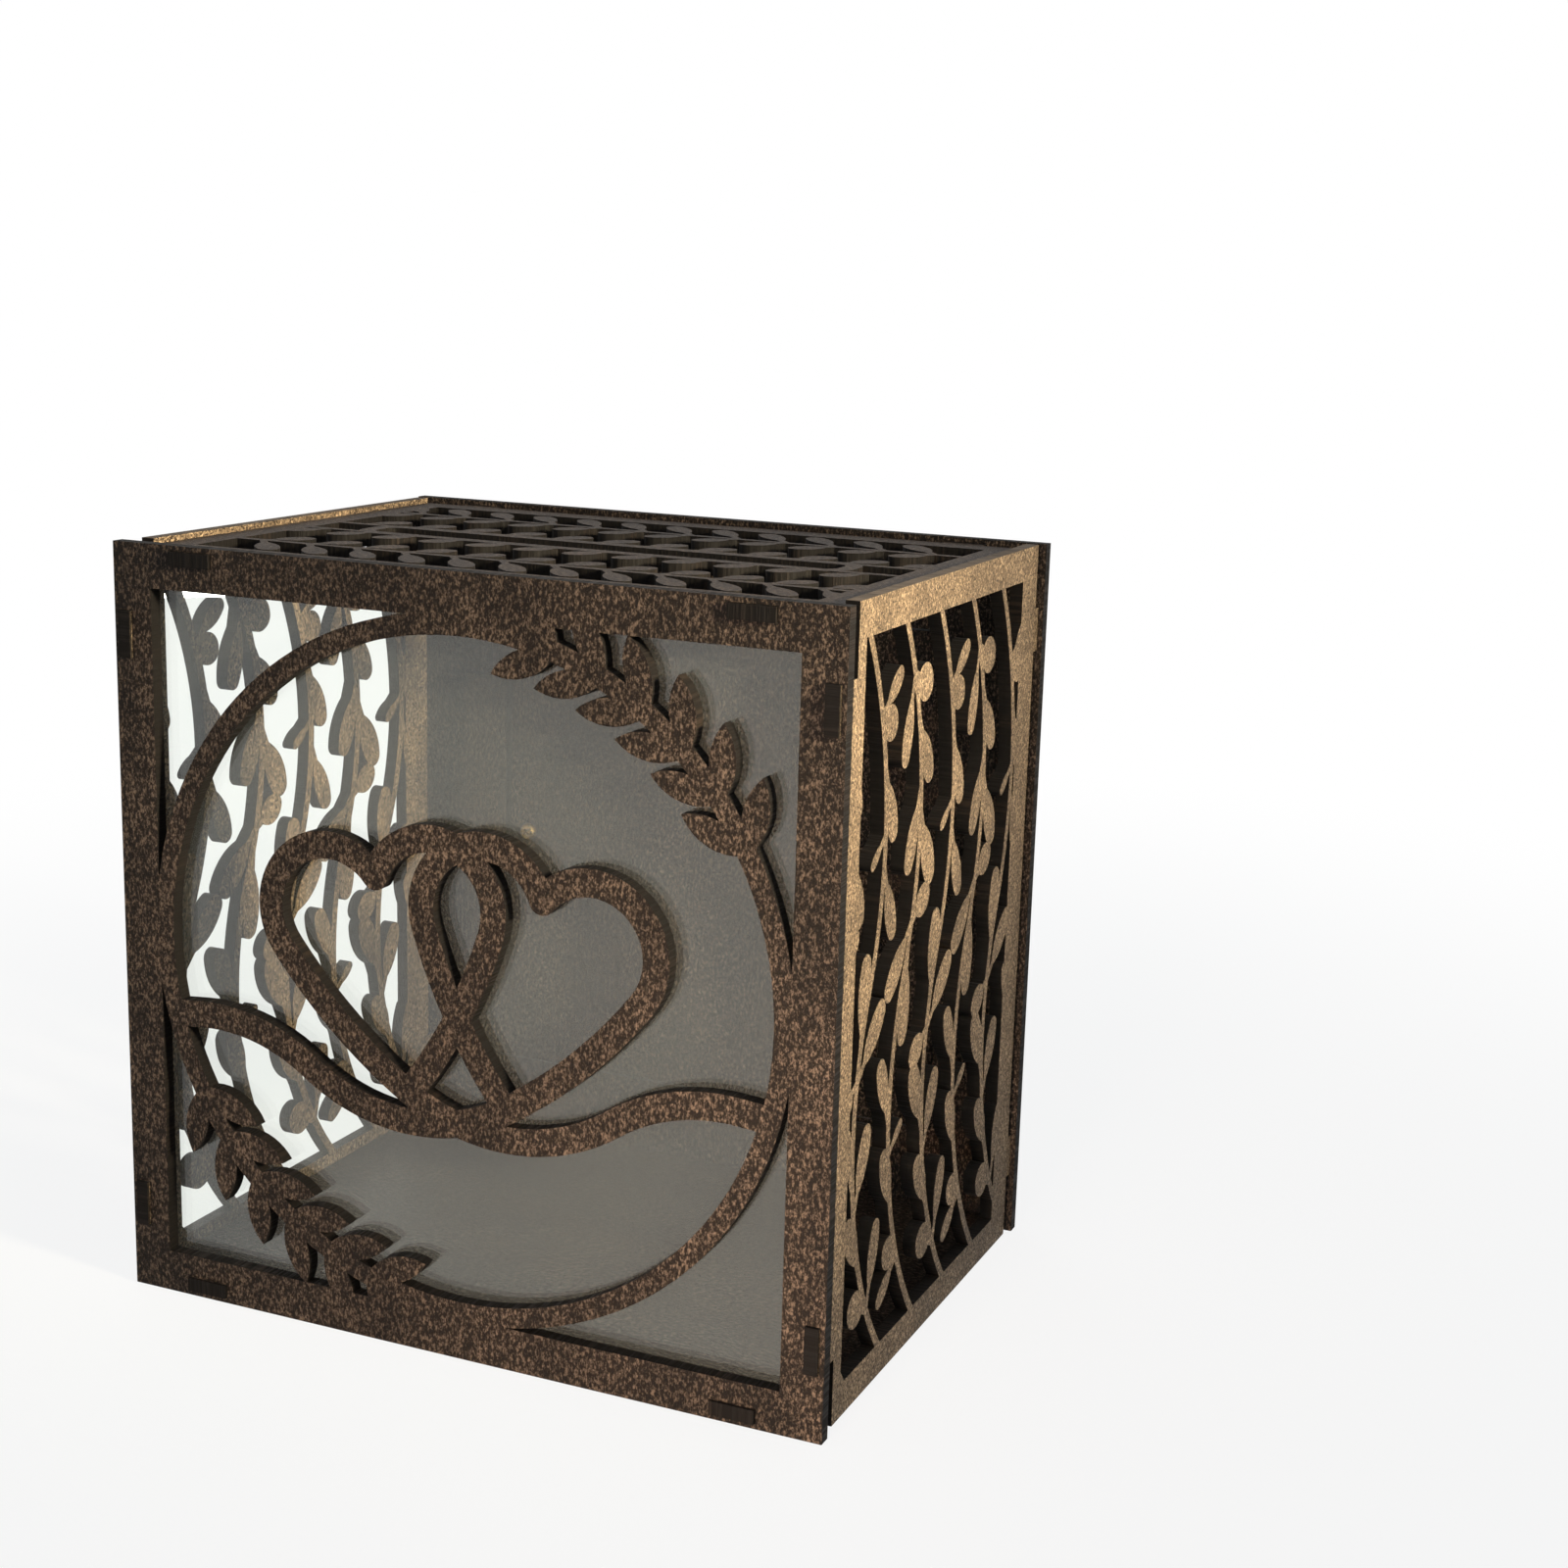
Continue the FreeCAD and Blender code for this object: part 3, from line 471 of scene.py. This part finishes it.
def board_material(name, colours, board, finish):
    """Stained board with charred edges, square to its faces, and painted shade on the tabs proud of
    front and back.
    """
    material, tree, shader, coordinates = new_material(name)
    stain, fibre, pore = (rgba(colour) for colour in colours)
    flat = effect(tree, "Stained fibre", {
        "Vector": stretched(tree, coordinates, board.fibre_stretch),
        "Stain": stain, "Fibre": fibre, "Pore": pore,
        "Fibre Share": board.fibre_share, "Pore Share": board.pore_share,
    })
    through = [1.0 - LINE_STRETCH * part for part in board.thickness_axis]
    face = combine(
        tree, "MULTIPLY", facing_along(tree, coordinates, board.thickness_axis),
        short_of_tabs(tree, coordinates))
    cut = effect(tree, "Laser char", {
        "Vector": stretched(tree, coordinates, through),
        "Facing": face,
        "Face Color": flat["Color"],
        "Face Roughness": flat["Roughness"],
        "Face Height": flat["Height"],
        "Char": rgba(finish.char), "Ember": rgba(finish.ember),
        "Up": upward_at_top(tree, coordinates),
        "Dust": rgba(finish.dust), "Dust And Sheen Share": board.dust_and_sheen_share,
    })
    lay(tree, shader, cut, finish.relief, BOARD_BUMP)
    shader.inputs["Specular IOR Level"].default_value = BOARD_SPECULAR
    return material


def metal_material(name, metal, tarnish, age, relief):
    """Metal with a patina."""
    material, tree, shader, coordinates = new_material(name)
    aged = effect(tree, "Patina", {
        "Vector": coordinates["Object"],
        "Metal": rgba(metal), "Tarnish": rgba(tarnish), "Age": age,
    })
    lay(tree, shader, aged, relief, METAL_BUMP)
    shader.inputs["Metallic"].default_value = 1.0
    return material


def brass_material(name, finish, share=1.0):
    """Brass of the hardware, with a share of its age."""
    return metal_material(
        name, finish.brass, finish.tarnish, finish.age * share, finish.relief)


def pane_material(finish):
    """Clear acrylic with specks, wiped streaks and slow waves."""
    material, tree, shader, coordinates = new_material("Clear acrylic")
    handled = effect(tree, "Smudges", {
        "Vector": stretched(tree, coordinates, WIPING_STRETCH),
        "Clear": rgba(finish.clear), "Dust": rgba(finish.dust),
    })
    lay(tree, shader, handled, finish.relief, PANE_BUMP)
    shader.inputs["Transmission Weight"].default_value = finish.clarity
    shader.inputs["IOR"].default_value = ACRYLIC_IOR
    return material


def dress(names, material):
    """Give solids of the frame a finish."""
    for name in names:
        slots = NODES[name].data.materials
        slots.clear()
        slots.append(material)


# Modelling

def only(piece):
    """Make a piece the one selected object."""
    bpy.ops.object.select_all(action="DESELECT")
    piece.select_set(True)
    bpy.context.view_layer.objects.active = piece


def pick(piece, mode, test):
    """In edit mode, select only the faces or edges that pass a test."""
    bpy.ops.mesh.select_mode(type=mode)
    bpy.ops.mesh.select_all(action="DESELECT")
    mesh = bmesh.from_edit_mesh(piece.data)
    for element in (mesh.faces if mode == "FACE" else mesh.edges):
        if test(element):
            element.select_set(True)
    bmesh.update_edit_mesh(piece.data)


def faces_down(face):
    """Whether a face looks straight down."""
    return face.normal.z < -FLAT


def extrude_down(length):
    """Draw the selected faces downwards."""
    bpy.ops.mesh.extrude_region_move(TRANSFORM_OT_translate={"value": (0, 0, -length)})


def taper(share):
    """Narrow the selected faces about the screw's axis."""
    bpy.ops.transform.resize(value=(share, share, 1))


def carve(piece, cutter):
    """Cut one mesh out of another and drop the cutter."""
    only(piece)
    cut = piece.modifiers.new("Recess", "BOOLEAN")
    cut.operation = "DIFFERENCE"
    cut.object = cutter
    bpy.ops.object.modifier_apply(modifier=cut.name)
    bpy.data.objects.remove(cutter)


def model_cutter(size, height):
    """Bar of a cross recess, narrower below, with its middle at a height."""
    bpy.ops.object.select_all(action="DESELECT")
    bpy.ops.mesh.primitive_cube_add(size=1, location=(0, 0, height))
    cutter = bpy.context.object
    cutter.scale = size
    bpy.ops.object.transform_apply(location=True, rotation=True, scale=True)
    bpy.ops.object.mode_set(mode="EDIT")
    pick(cutter, "FACE", faces_down)
    taper(CROSS_TAPER)
    bpy.ops.object.mode_set(mode="OBJECT")
    return cutter


def model_screw(name, head_radius, head_height, shank_radius, shank_length):
    """Screw with its head on the origin plane: domed, with a cross recess and a tapered point."""
    bpy.ops.object.select_all(action="DESELECT")
    bpy.ops.mesh.primitive_cylinder_add(
        vertices=HEAD_SIDES, radius=head_radius, depth=head_height,
        location=(0, 0, head_height / 2))
    screw = bpy.context.object
    screw.name = name
    bpy.ops.object.transform_apply(location=True, rotation=True, scale=True)
    bpy.ops.object.mode_set(mode="EDIT")
    top = head_height * SAME_HEIGHT
    pick(screw, "EDGE", lambda edge: all(corner.co.z > top for corner in edge.verts))
    bpy.ops.mesh.bevel(
        offset=head_height * DOME_SHARE, segments=DOME_STEPS, profile=DOME_PROFILE, affect="EDGES")
    pick(screw, "FACE", faces_down)
    bpy.ops.mesh.inset(thickness=head_radius - shank_radius, depth=0)
    extrude_down(shank_length * (1 - POINT_SHARE))
    extrude_down(shank_length * POINT_SHARE)
    taper(TIP_SHARE)
    bpy.ops.object.mode_set(mode="OBJECT")
    length, width = head_radius * CROSS_LENGTH, head_radius * CROSS_WIDTH
    depth = 2 * head_height * CROSS_DEPTH
    for size in ((length, width, depth), (width, length, depth)):
        carve(screw, model_cutter(size, head_height))
    only(screw)
    bpy.ops.object.shade_smooth_by_angle(angle=SMOOTH_ANGLE)
    return screw


def placed_copy(pattern, name, turn, outward, place, material, body, node):
    """Own copy of a screw, turned about its axis, faced outwards and put in its hole."""
    piece = pattern.copy()
    piece.data = pattern.data.copy()
    piece.name = name
    bpy.context.collection.objects.link(piece)
    facing = UP.rotation_difference(outward).to_matrix().to_4x4()
    piece.data.transform(Matrix.Translation(place) @ facing @ Matrix.Rotation(turn, 4, "Z"))
    piece.data.materials.clear()
    piece.data.materials.append(material)
    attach(piece, body)
    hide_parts(node)


def solid_boxes(node):
    """Lowest and highest corner of each loose solid of a node, from the bottom up."""
    mesh = bmesh.new()
    mesh.from_mesh(NODES[node].data)
    bmesh.ops.remove_doubles(mesh, verts=mesh.verts, dist=WELD)
    left = set(mesh.verts)
    boxes = []
    while left:
        solid, reached = set(), [left.pop()]
        while reached:
            corner = reached.pop()
            solid.add(corner)
            for edge in corner.link_edges:
                other = edge.other_vert(corner)
                if other in left:
                    left.remove(other)
                    reached.append(other)
        points = [corner.co for corner in solid]
        boxes.append(tuple(
            Vector(end(point[axis] for point in points) for axis in range(3))
            for end in (min, max)))
    mesh.free()
    return sorted(boxes, key=lambda box: box[0].z)


# Stage building

def seen_white(tree, surface, output, share):
    """Let camera, mirror and glass rays see a share of a surface as plain white."""
    path = tree.nodes.new("ShaderNodeLightPath").outputs
    direct = combine(tree, "MAXIMUM", path["Is Camera Ray"], path["Is Glossy Ray"])
    direct = combine(tree, "MAXIMUM", direct, path["Is Transmission Ray"])
    white = add_node(tree, "ShaderNodeEmission", {"Color": (1, 1, 1, 1), "Strength": 1.0})
    mixer = add_node(tree, "ShaderNodeMixShader", {
        "Fac": combine(tree, "MULTIPLY", direct, share), 1: surface,
        2: white.outputs["Emission"]})
    tree.links.new(mixer.outputs["Shader"], output.inputs["Surface"])


def lay_floor(settings):
    """Pale floor just below the box, whiter further off."""
    bpy.ops.object.select_all(action="DESELECT")
    bpy.ops.mesh.primitive_plane_add(size=settings.floor_size, location=(0, 0, -FLOOR_DROP))
    floor = bpy.context.object
    floor.name = "floor"
    material, tree, shader, coordinates = new_material("Pale floor")
    tint = blend_colours(
        tree, patterned(tree, coordinates["Object"], FLOOR_TONES),
        rgba(settings.floor), rgba(part * FLOOR_SHADE for part in settings.floor))
    tree.links.new(tint, shader.inputs["Base Color"])
    shader.inputs["Roughness"].default_value = FLOOR_ROUGHNESS
    reach = add_node(
        tree, "ShaderNodeVectorMath", {0: coordinates["Object"]}, operation="LENGTH")
    share = remap(
        tree, reach.outputs["Value"], *WHITENING_REACH, WHITE_NEAR_BOX, ALL_WHITE)
    seen_white(tree, shader.outputs["BSDF"], tree.nodes["Material Output"], share)
    floor.data.materials.append(material)


def light_world(scene, settings):
    """Soft light from all round, seen as plain white."""
    world = bpy.data.worlds.new("Studio")
    scene.world = world
    world.use_nodes = True
    tree = world.node_tree
    sky = tree.nodes["Background"]
    sky.inputs["Color"].default_value = rgba(settings.sky)
    sky.inputs["Strength"].default_value = settings.sky_strength
    seen_white(tree, sky.outputs["Background"], tree.nodes["World Output"], ALL_WHITE)


def hang_lamp(lamp):
    """Area lamp that faces its target."""
    bpy.ops.object.light_add(type="AREA", location=lamp.place)
    piece = bpy.context.object
    piece.name = lamp.name
    piece.data.shape = "RECTANGLE"
    piece.data.size = lamp.width
    piece.data.size_y = lamp.height
    piece.data.energy = lamp.power
    piece.data.color = lamp.colour
    piece.data.spread = lamp.spread
    gaze = Vector(lamp.target) - Vector(lamp.place)
    piece.rotation_euler = gaze.to_track_quat("-Z", "Y").to_euler()


def aim_camera(scene, settings):
    """Camera at its place, turned, tilted and leaned."""
    bpy.ops.object.camera_add(location=settings.camera_place)
    camera = bpy.context.object
    camera.name = "Camera"
    turn = (
        Matrix.Rotation(settings.camera_yaw, 4, "Z")
        @ Matrix.Rotation(settings.camera_pitch + math.pi / 2, 4, "X")
        @ Matrix.Rotation(-settings.camera_roll, 4, "Z"))
    camera.rotation_euler = turn.to_euler()
    camera.data.sensor_width = SENSOR_WIDTH
    camera.data.lens = settings.lens
    camera.data.clip_start, camera.data.clip_end = CLIP_RANGE
    scene.camera = camera


# Settings

def colour_setting(name, description, default):
    """Colour that a user may change."""
    return bpy.props.FloatVectorProperty(
        name=name, description=description, default=default, subtype="COLOR", min=0.0, max=1.0)


def share_setting(name, description, default):
    """Share between none and all."""
    return bpy.props.FloatProperty(
        name=name, description=description, default=default, subtype="FACTOR", min=0.0, max=1.0)


def length_setting(name, description, default):
    """Length in metres."""
    return bpy.props.FloatProperty(
        name=name, description=description, default=default, subtype="DISTANCE", unit="LENGTH",
        min=0.0, precision=5)


def angle_setting(name, description, degrees):
    """Angle given in degrees and kept in radians."""
    return bpy.props.FloatProperty(
        name=name, description=description, default=math.radians(degrees), subtype="ANGLE",
        unit="ROTATION")


class BoardFinish(bpy.types.PropertyGroup):
    """Stain of the boards and the char of their cut edges."""

    stain: colour_setting(
        "Stain", "Ground colour of the front, back and floor", (0.0085, 0.0058, 0.0043))
    fibre: colour_setting(
        "Fibre", "Pale fibres of the front, back and floor", (0.138, 0.096, 0.071))
    pore: colour_setting(
        "Pore", "Dark pores of the front, back, floor and top", (0.006, 0.0045, 0.004))
    # The wall stain, fibre and pore are a lighter copy of the boards' stain: painted light on the
    # side walls.
    wall_stain_painted_lit: colour_setting(
        "Wall stain (painted light)", "Ground colour of the side walls", (0.105, 0.073, 0.047))
    wall_fibre_painted_lit: colour_setting(
        "Wall fibre (painted light)", "Pale fibres of the side walls", (0.380, 0.270, 0.170))
    wall_pore_painted_lit: colour_setting(
        "Wall pore (painted light)", "Dark pores of the side walls", (0.020, 0.013, 0.008))
    top_stain: colour_setting("Top stain", "Ground colour of the top", (0.018, 0.0125, 0.009))
    top_fibre: colour_setting("Top fibre", "Pale fibres of the top", (0.105, 0.071, 0.049))
    char: colour_setting("Char", "Laser-cut edges", (0.0055, 0.0045, 0.004))
    ember: colour_setting("Ember", "Brown traces on the cut edges", (0.016, 0.0105, 0.0075))
    # This colour on the walls' upward cut edges near the top is partly dust, partly painted sheen.
    dust: colour_setting(
        "Dust", "Dust on the walls' uppermost cut edges", (0.110, 0.085, 0.068))
    relief: length_setting("Relief", "Depth of the fibres and cutting lines", 0.25 * MM)


class PaneFinish(bpy.types.PropertyGroup):
    """Clear pane behind the front."""

    clear: colour_setting("Clear", "Tint of the pane", (0.93, 0.965, 0.92))
    dust: colour_setting("Dust", "Specks on the pane", (0.98, 0.98, 0.96))
    clarity: share_setting("Clarity", "Share of the light that passes the pane", 0.97)
    relief: length_setting("Relief", "Depth of the pane's slow waves", 0.05 * MM)


class HardwareFinish(bpy.types.PropertyGroup):
    """Hinges, screws, knob and magnets."""

    brass: colour_setting("Brass", "Bright brass of the hardware", (0.42, 0.29, 0.125))
    tarnish: colour_setting("Tarnish", "Dark tarnish of the hardware", (0.105, 0.066, 0.030))
    nickel: colour_setting("Nickel", "Plating of the magnets", (0.62, 0.61, 0.58))
    smut: colour_setting("Smut", "Stains on the magnets", (0.20, 0.19, 0.18))
    age: share_setting("Age", "Share of the brass under tarnish", 0.8)
    smut_share: share_setting("Smut share", "Share of the plating under stains", 0.35)
    relief: length_setting("Relief", "Depth of the scuffs", 0.05 * MM)
    leaf: length_setting("Leaf", "Thickness of a hinge leaf under its screw heads", 0.8 * MM)
    hinge_shank: length_setting("Hinge shank", "Radius of a hinge screw's shank", 0.8 * MM)
    knob_shank: length_setting("Knob shank", "Radius of the knob screw's shank", 1.5 * MM)


class StageSettings(bpy.types.PropertyGroup):
    """Light, floor and camera."""

    floor: colour_setting("Floor", "Floor under the box", (0.82, 0.82, 0.81))
    floor_size: length_setting("Floor size", "Side of the square floor", 14.0)
    sky: colour_setting("Sky", "Light from all round", (0.76, 0.90, 1.0))
    sky_strength: bpy.props.FloatProperty(
        name="Sky strength", description="Strength of the light from all round", default=0.37,
        min=0.0)
    camera_place: bpy.props.FloatVectorProperty(
        name="Camera place", description="Where the camera stands", subtype="XYZ", unit="LENGTH",
        default=(0.36315, -0.69288, 0.34193))
    camera_yaw: angle_setting("Camera yaw", "Turn to the left from straight ahead", 23.334)
    camera_pitch: angle_setting("Camera pitch", "Tilt upwards", -12.505)
    camera_roll: angle_setting("Camera roll", "Lean to the right", -1.666)
    lens: bpy.props.FloatProperty(
        name="Lens", description="Focal length of the camera", default=54.245, unit="CAMERA")


# Operators

class CARDBOX_OT_stain_panels(bpy.types.Operator):
    """Stain the front, the back, its door and stop strip, and the floor"""

    bl_idname = "cardbox.stain_panels"
    bl_label = "Stain Panels"

    def execute(self, context):
        finish = context.scene.card_box_boards
        colours = (finish.stain, finish.fibre, finish.pore)
        dress(PANELS, board_material("Dark stained board", colours, UPRIGHT_PANEL, finish))
        dress(
            ("floor_panel",), board_material("Dark stained floor", colours, FLOOR_BOARD, finish))
        return {"FINISHED"}


class CARDBOX_OT_stain_walls(bpy.types.Operator):
    """Stain the two pierced side walls in a lighter copy of the stain, which is painted light"""

    bl_idname = "cardbox.stain_walls"
    bl_label = "Stain Walls"

    def execute(self, context):
        finish = context.scene.card_box_boards
        colours = (finish.wall_stain_painted_lit, finish.wall_fibre_painted_lit, finish.wall_pore_painted_lit)
        dress(WALLS, board_material("Wall stain with painted light", colours, SIDE_WALL, finish))
        return {"FINISHED"}


class CARDBOX_OT_stain_top(bpy.types.Operator):
    """Stain the pierced top"""

    bl_idname = "cardbox.stain_top"
    bl_label = "Stain Top"

    def execute(self, context):
        finish = context.scene.card_box_boards
        colours = (finish.top_stain, finish.top_fibre, finish.pore)
        dress(("top_panel",), board_material("Dark stained top", colours, TOP_BOARD, finish))
        return {"FINISHED"}


class CARDBOX_OT_polish_pane(bpy.types.Operator):
    """Make the front pane clear"""

    bl_idname = "cardbox.polish_pane"
    bl_label = "Polish Pane"

    def execute(self, context):
        dress(("front_pane",), pane_material(context.scene.card_box_pane))
        return {"FINISHED"}


class CARDBOX_OT_age_brass(bpy.types.Operator):
    """Age the hinge leaves, the hinge pins and the pull knob"""

    bl_idname = "cardbox.age_brass"
    bl_label = "Age Brass"

    def execute(self, context):
        brass = brass_material("Aged brass", context.scene.card_box_hardware)
        dress([hinge + "_hinge_" + part for hinge in HINGES for part in HINGE_PARTS], brass)
        dress(("pull_knob",), brass)
        return {"FINISHED"}


class CARDBOX_OT_fit_hinge_screws(bpy.types.Operator):
    """Fit a cross-head screw in each hole of the hinge leaves"""

    bl_idname = "cardbox.fit_hinge_screws"
    bl_label = "Fit Hinge Screws"

    def execute(self, context):
        finish = context.scene.card_box_hardware
        brass = brass_material("Screw brass", finish, HINGE_SCREW_AGE)
        for side, body in (("frame", "box"), ("door", "door")):
            node = side + "_hinge_screws"
            boxes = solid_boxes(node)
            seat_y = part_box("upper_hinge_%s_leaf" % side)[0].y + finish.leaf
            low, high = boxes[0]
            pattern = model_screw(
                node + "_pattern", (high.x - low.x) / 2, high.y - seat_y, finish.hinge_shank,
                seat_y - low.y)
            for number, (low, high) in enumerate(boxes):
                middle = (low + high) / 2
                placed_copy(
                    pattern, "%s_hinge_screw_%d" % (side, number + 1),
                    FIRST_TURN + NEXT_TURN * number, BACKWARD,
                    Vector((middle.x, seat_y, middle.z)), brass, body, node)
            bpy.data.objects.remove(pattern)
        return {"FINISHED"}


class CARDBOX_OT_fit_knob_screw(bpy.types.Operator):
    """Fit the knob's screw, with its head inside the door"""

    bl_idname = "cardbox.fit_knob_screw"
    bl_label = "Fit Knob Screw"

    def execute(self, context):
        finish = context.scene.card_box_hardware
        brass = brass_material("Knob screw brass", finish, KNOB_SCREW_AGE)
        low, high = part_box("knob_screw")
        seat_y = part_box("rear_door")[0].y
        pattern = model_screw(
            "knob_screw_pattern", (high.x - low.x) / 2, seat_y - low.y, finish.knob_shank,
            high.y - seat_y)
        middle = (low + high) / 2
        placed_copy(
            pattern, "cross_head_knob_screw", KNOB_SCREW_TURN, FORWARD,
            Vector((middle.x, seat_y, middle.z)), brass, "door", "knob_screw")
        bpy.data.objects.remove(pattern)
        return {"FINISHED"}


class CARDBOX_OT_plate_magnets(bpy.types.Operator):
    """Nickel-plate the magnets of the door and its stop strip"""

    bl_idname = "cardbox.plate_magnets"
    bl_label = "Plate Magnets"

    def execute(self, context):
        finish = context.scene.card_box_hardware
        dress(MAGNETS, metal_material(
            "Nickel plate", finish.nickel, finish.smut, finish.smut_share, finish.relief))
        return {"FINISHED"}


class CARDBOX_OT_set_stage(bpy.types.Operator):
    """Lay the floor, hang the lamps and aim the camera"""

    bl_idname = "cardbox.set_stage"
    bl_label = "Set Stage"

    def execute(self, context):
        scene = context.scene
        settings = scene.card_box_stage
        scene.view_settings.view_transform = "Standard"
        lay_floor(settings)
        light_world(scene, settings)
        for lamp in LAMPS:
            hang_lamp(lamp)
        aim_camera(scene, settings)
        return {"FINISHED"}


OPERATORS = (
    CARDBOX_OT_stain_panels,
    CARDBOX_OT_stain_walls,
    CARDBOX_OT_stain_top,
    CARDBOX_OT_polish_pane,
    CARDBOX_OT_age_brass,
    CARDBOX_OT_fit_hinge_screws,
    CARDBOX_OT_fit_knob_screw,
    CARDBOX_OT_plate_magnets,
    CARDBOX_OT_set_stage,
)
SETTINGS = {
    "card_box_boards": BoardFinish,
    "card_box_pane": PaneFinish,
    "card_box_hardware": HardwareFinish,
    "card_box_stage": StageSettings,
}


class CARDBOX_PT_dresser(bpy.types.Panel):
    """Steps that dress the card box, and their settings"""

    bl_label = "Card Box"
    bl_idname = "CARDBOX_PT_dresser"
    bl_space_type = "VIEW_3D"
    bl_region_type = "UI"
    bl_category = "Card Box"

    def draw(self, context):
        steps = self.layout.column(align=True)
        for operator in OPERATORS:
            steps.operator(operator.bl_idname)
        for name, group in SETTINGS.items():
            values = self.layout.box().column()
            values.label(text=group.__doc__)
            for setting in group.__annotations__:
                values.prop(getattr(context.scene, name), setting)


def register():
    """Register the settings, the operators and the panel."""
    for name, group in SETTINGS.items():
        bpy.utils.register_class(group)
        setattr(bpy.types.Scene, name, bpy.props.PointerProperty(type=group))
    for entry in (*OPERATORS, CARDBOX_PT_dresser):
        bpy.utils.register_class(entry)


def unregister():
    """Undo register."""
    for entry in (CARDBOX_PT_dresser, *reversed(OPERATORS)):
        bpy.utils.unregister_class(entry)
    for name, group in SETTINGS.items():
        delattr(bpy.types.Scene, name)
        bpy.utils.unregister_class(group)


def main():
    """Dress the box step by step."""
    register()
    for operator in OPERATORS:
        group, step = operator.bl_idname.split(".")
        getattr(getattr(bpy.ops, group), step)()


if __name__ == "__main__":
    main()
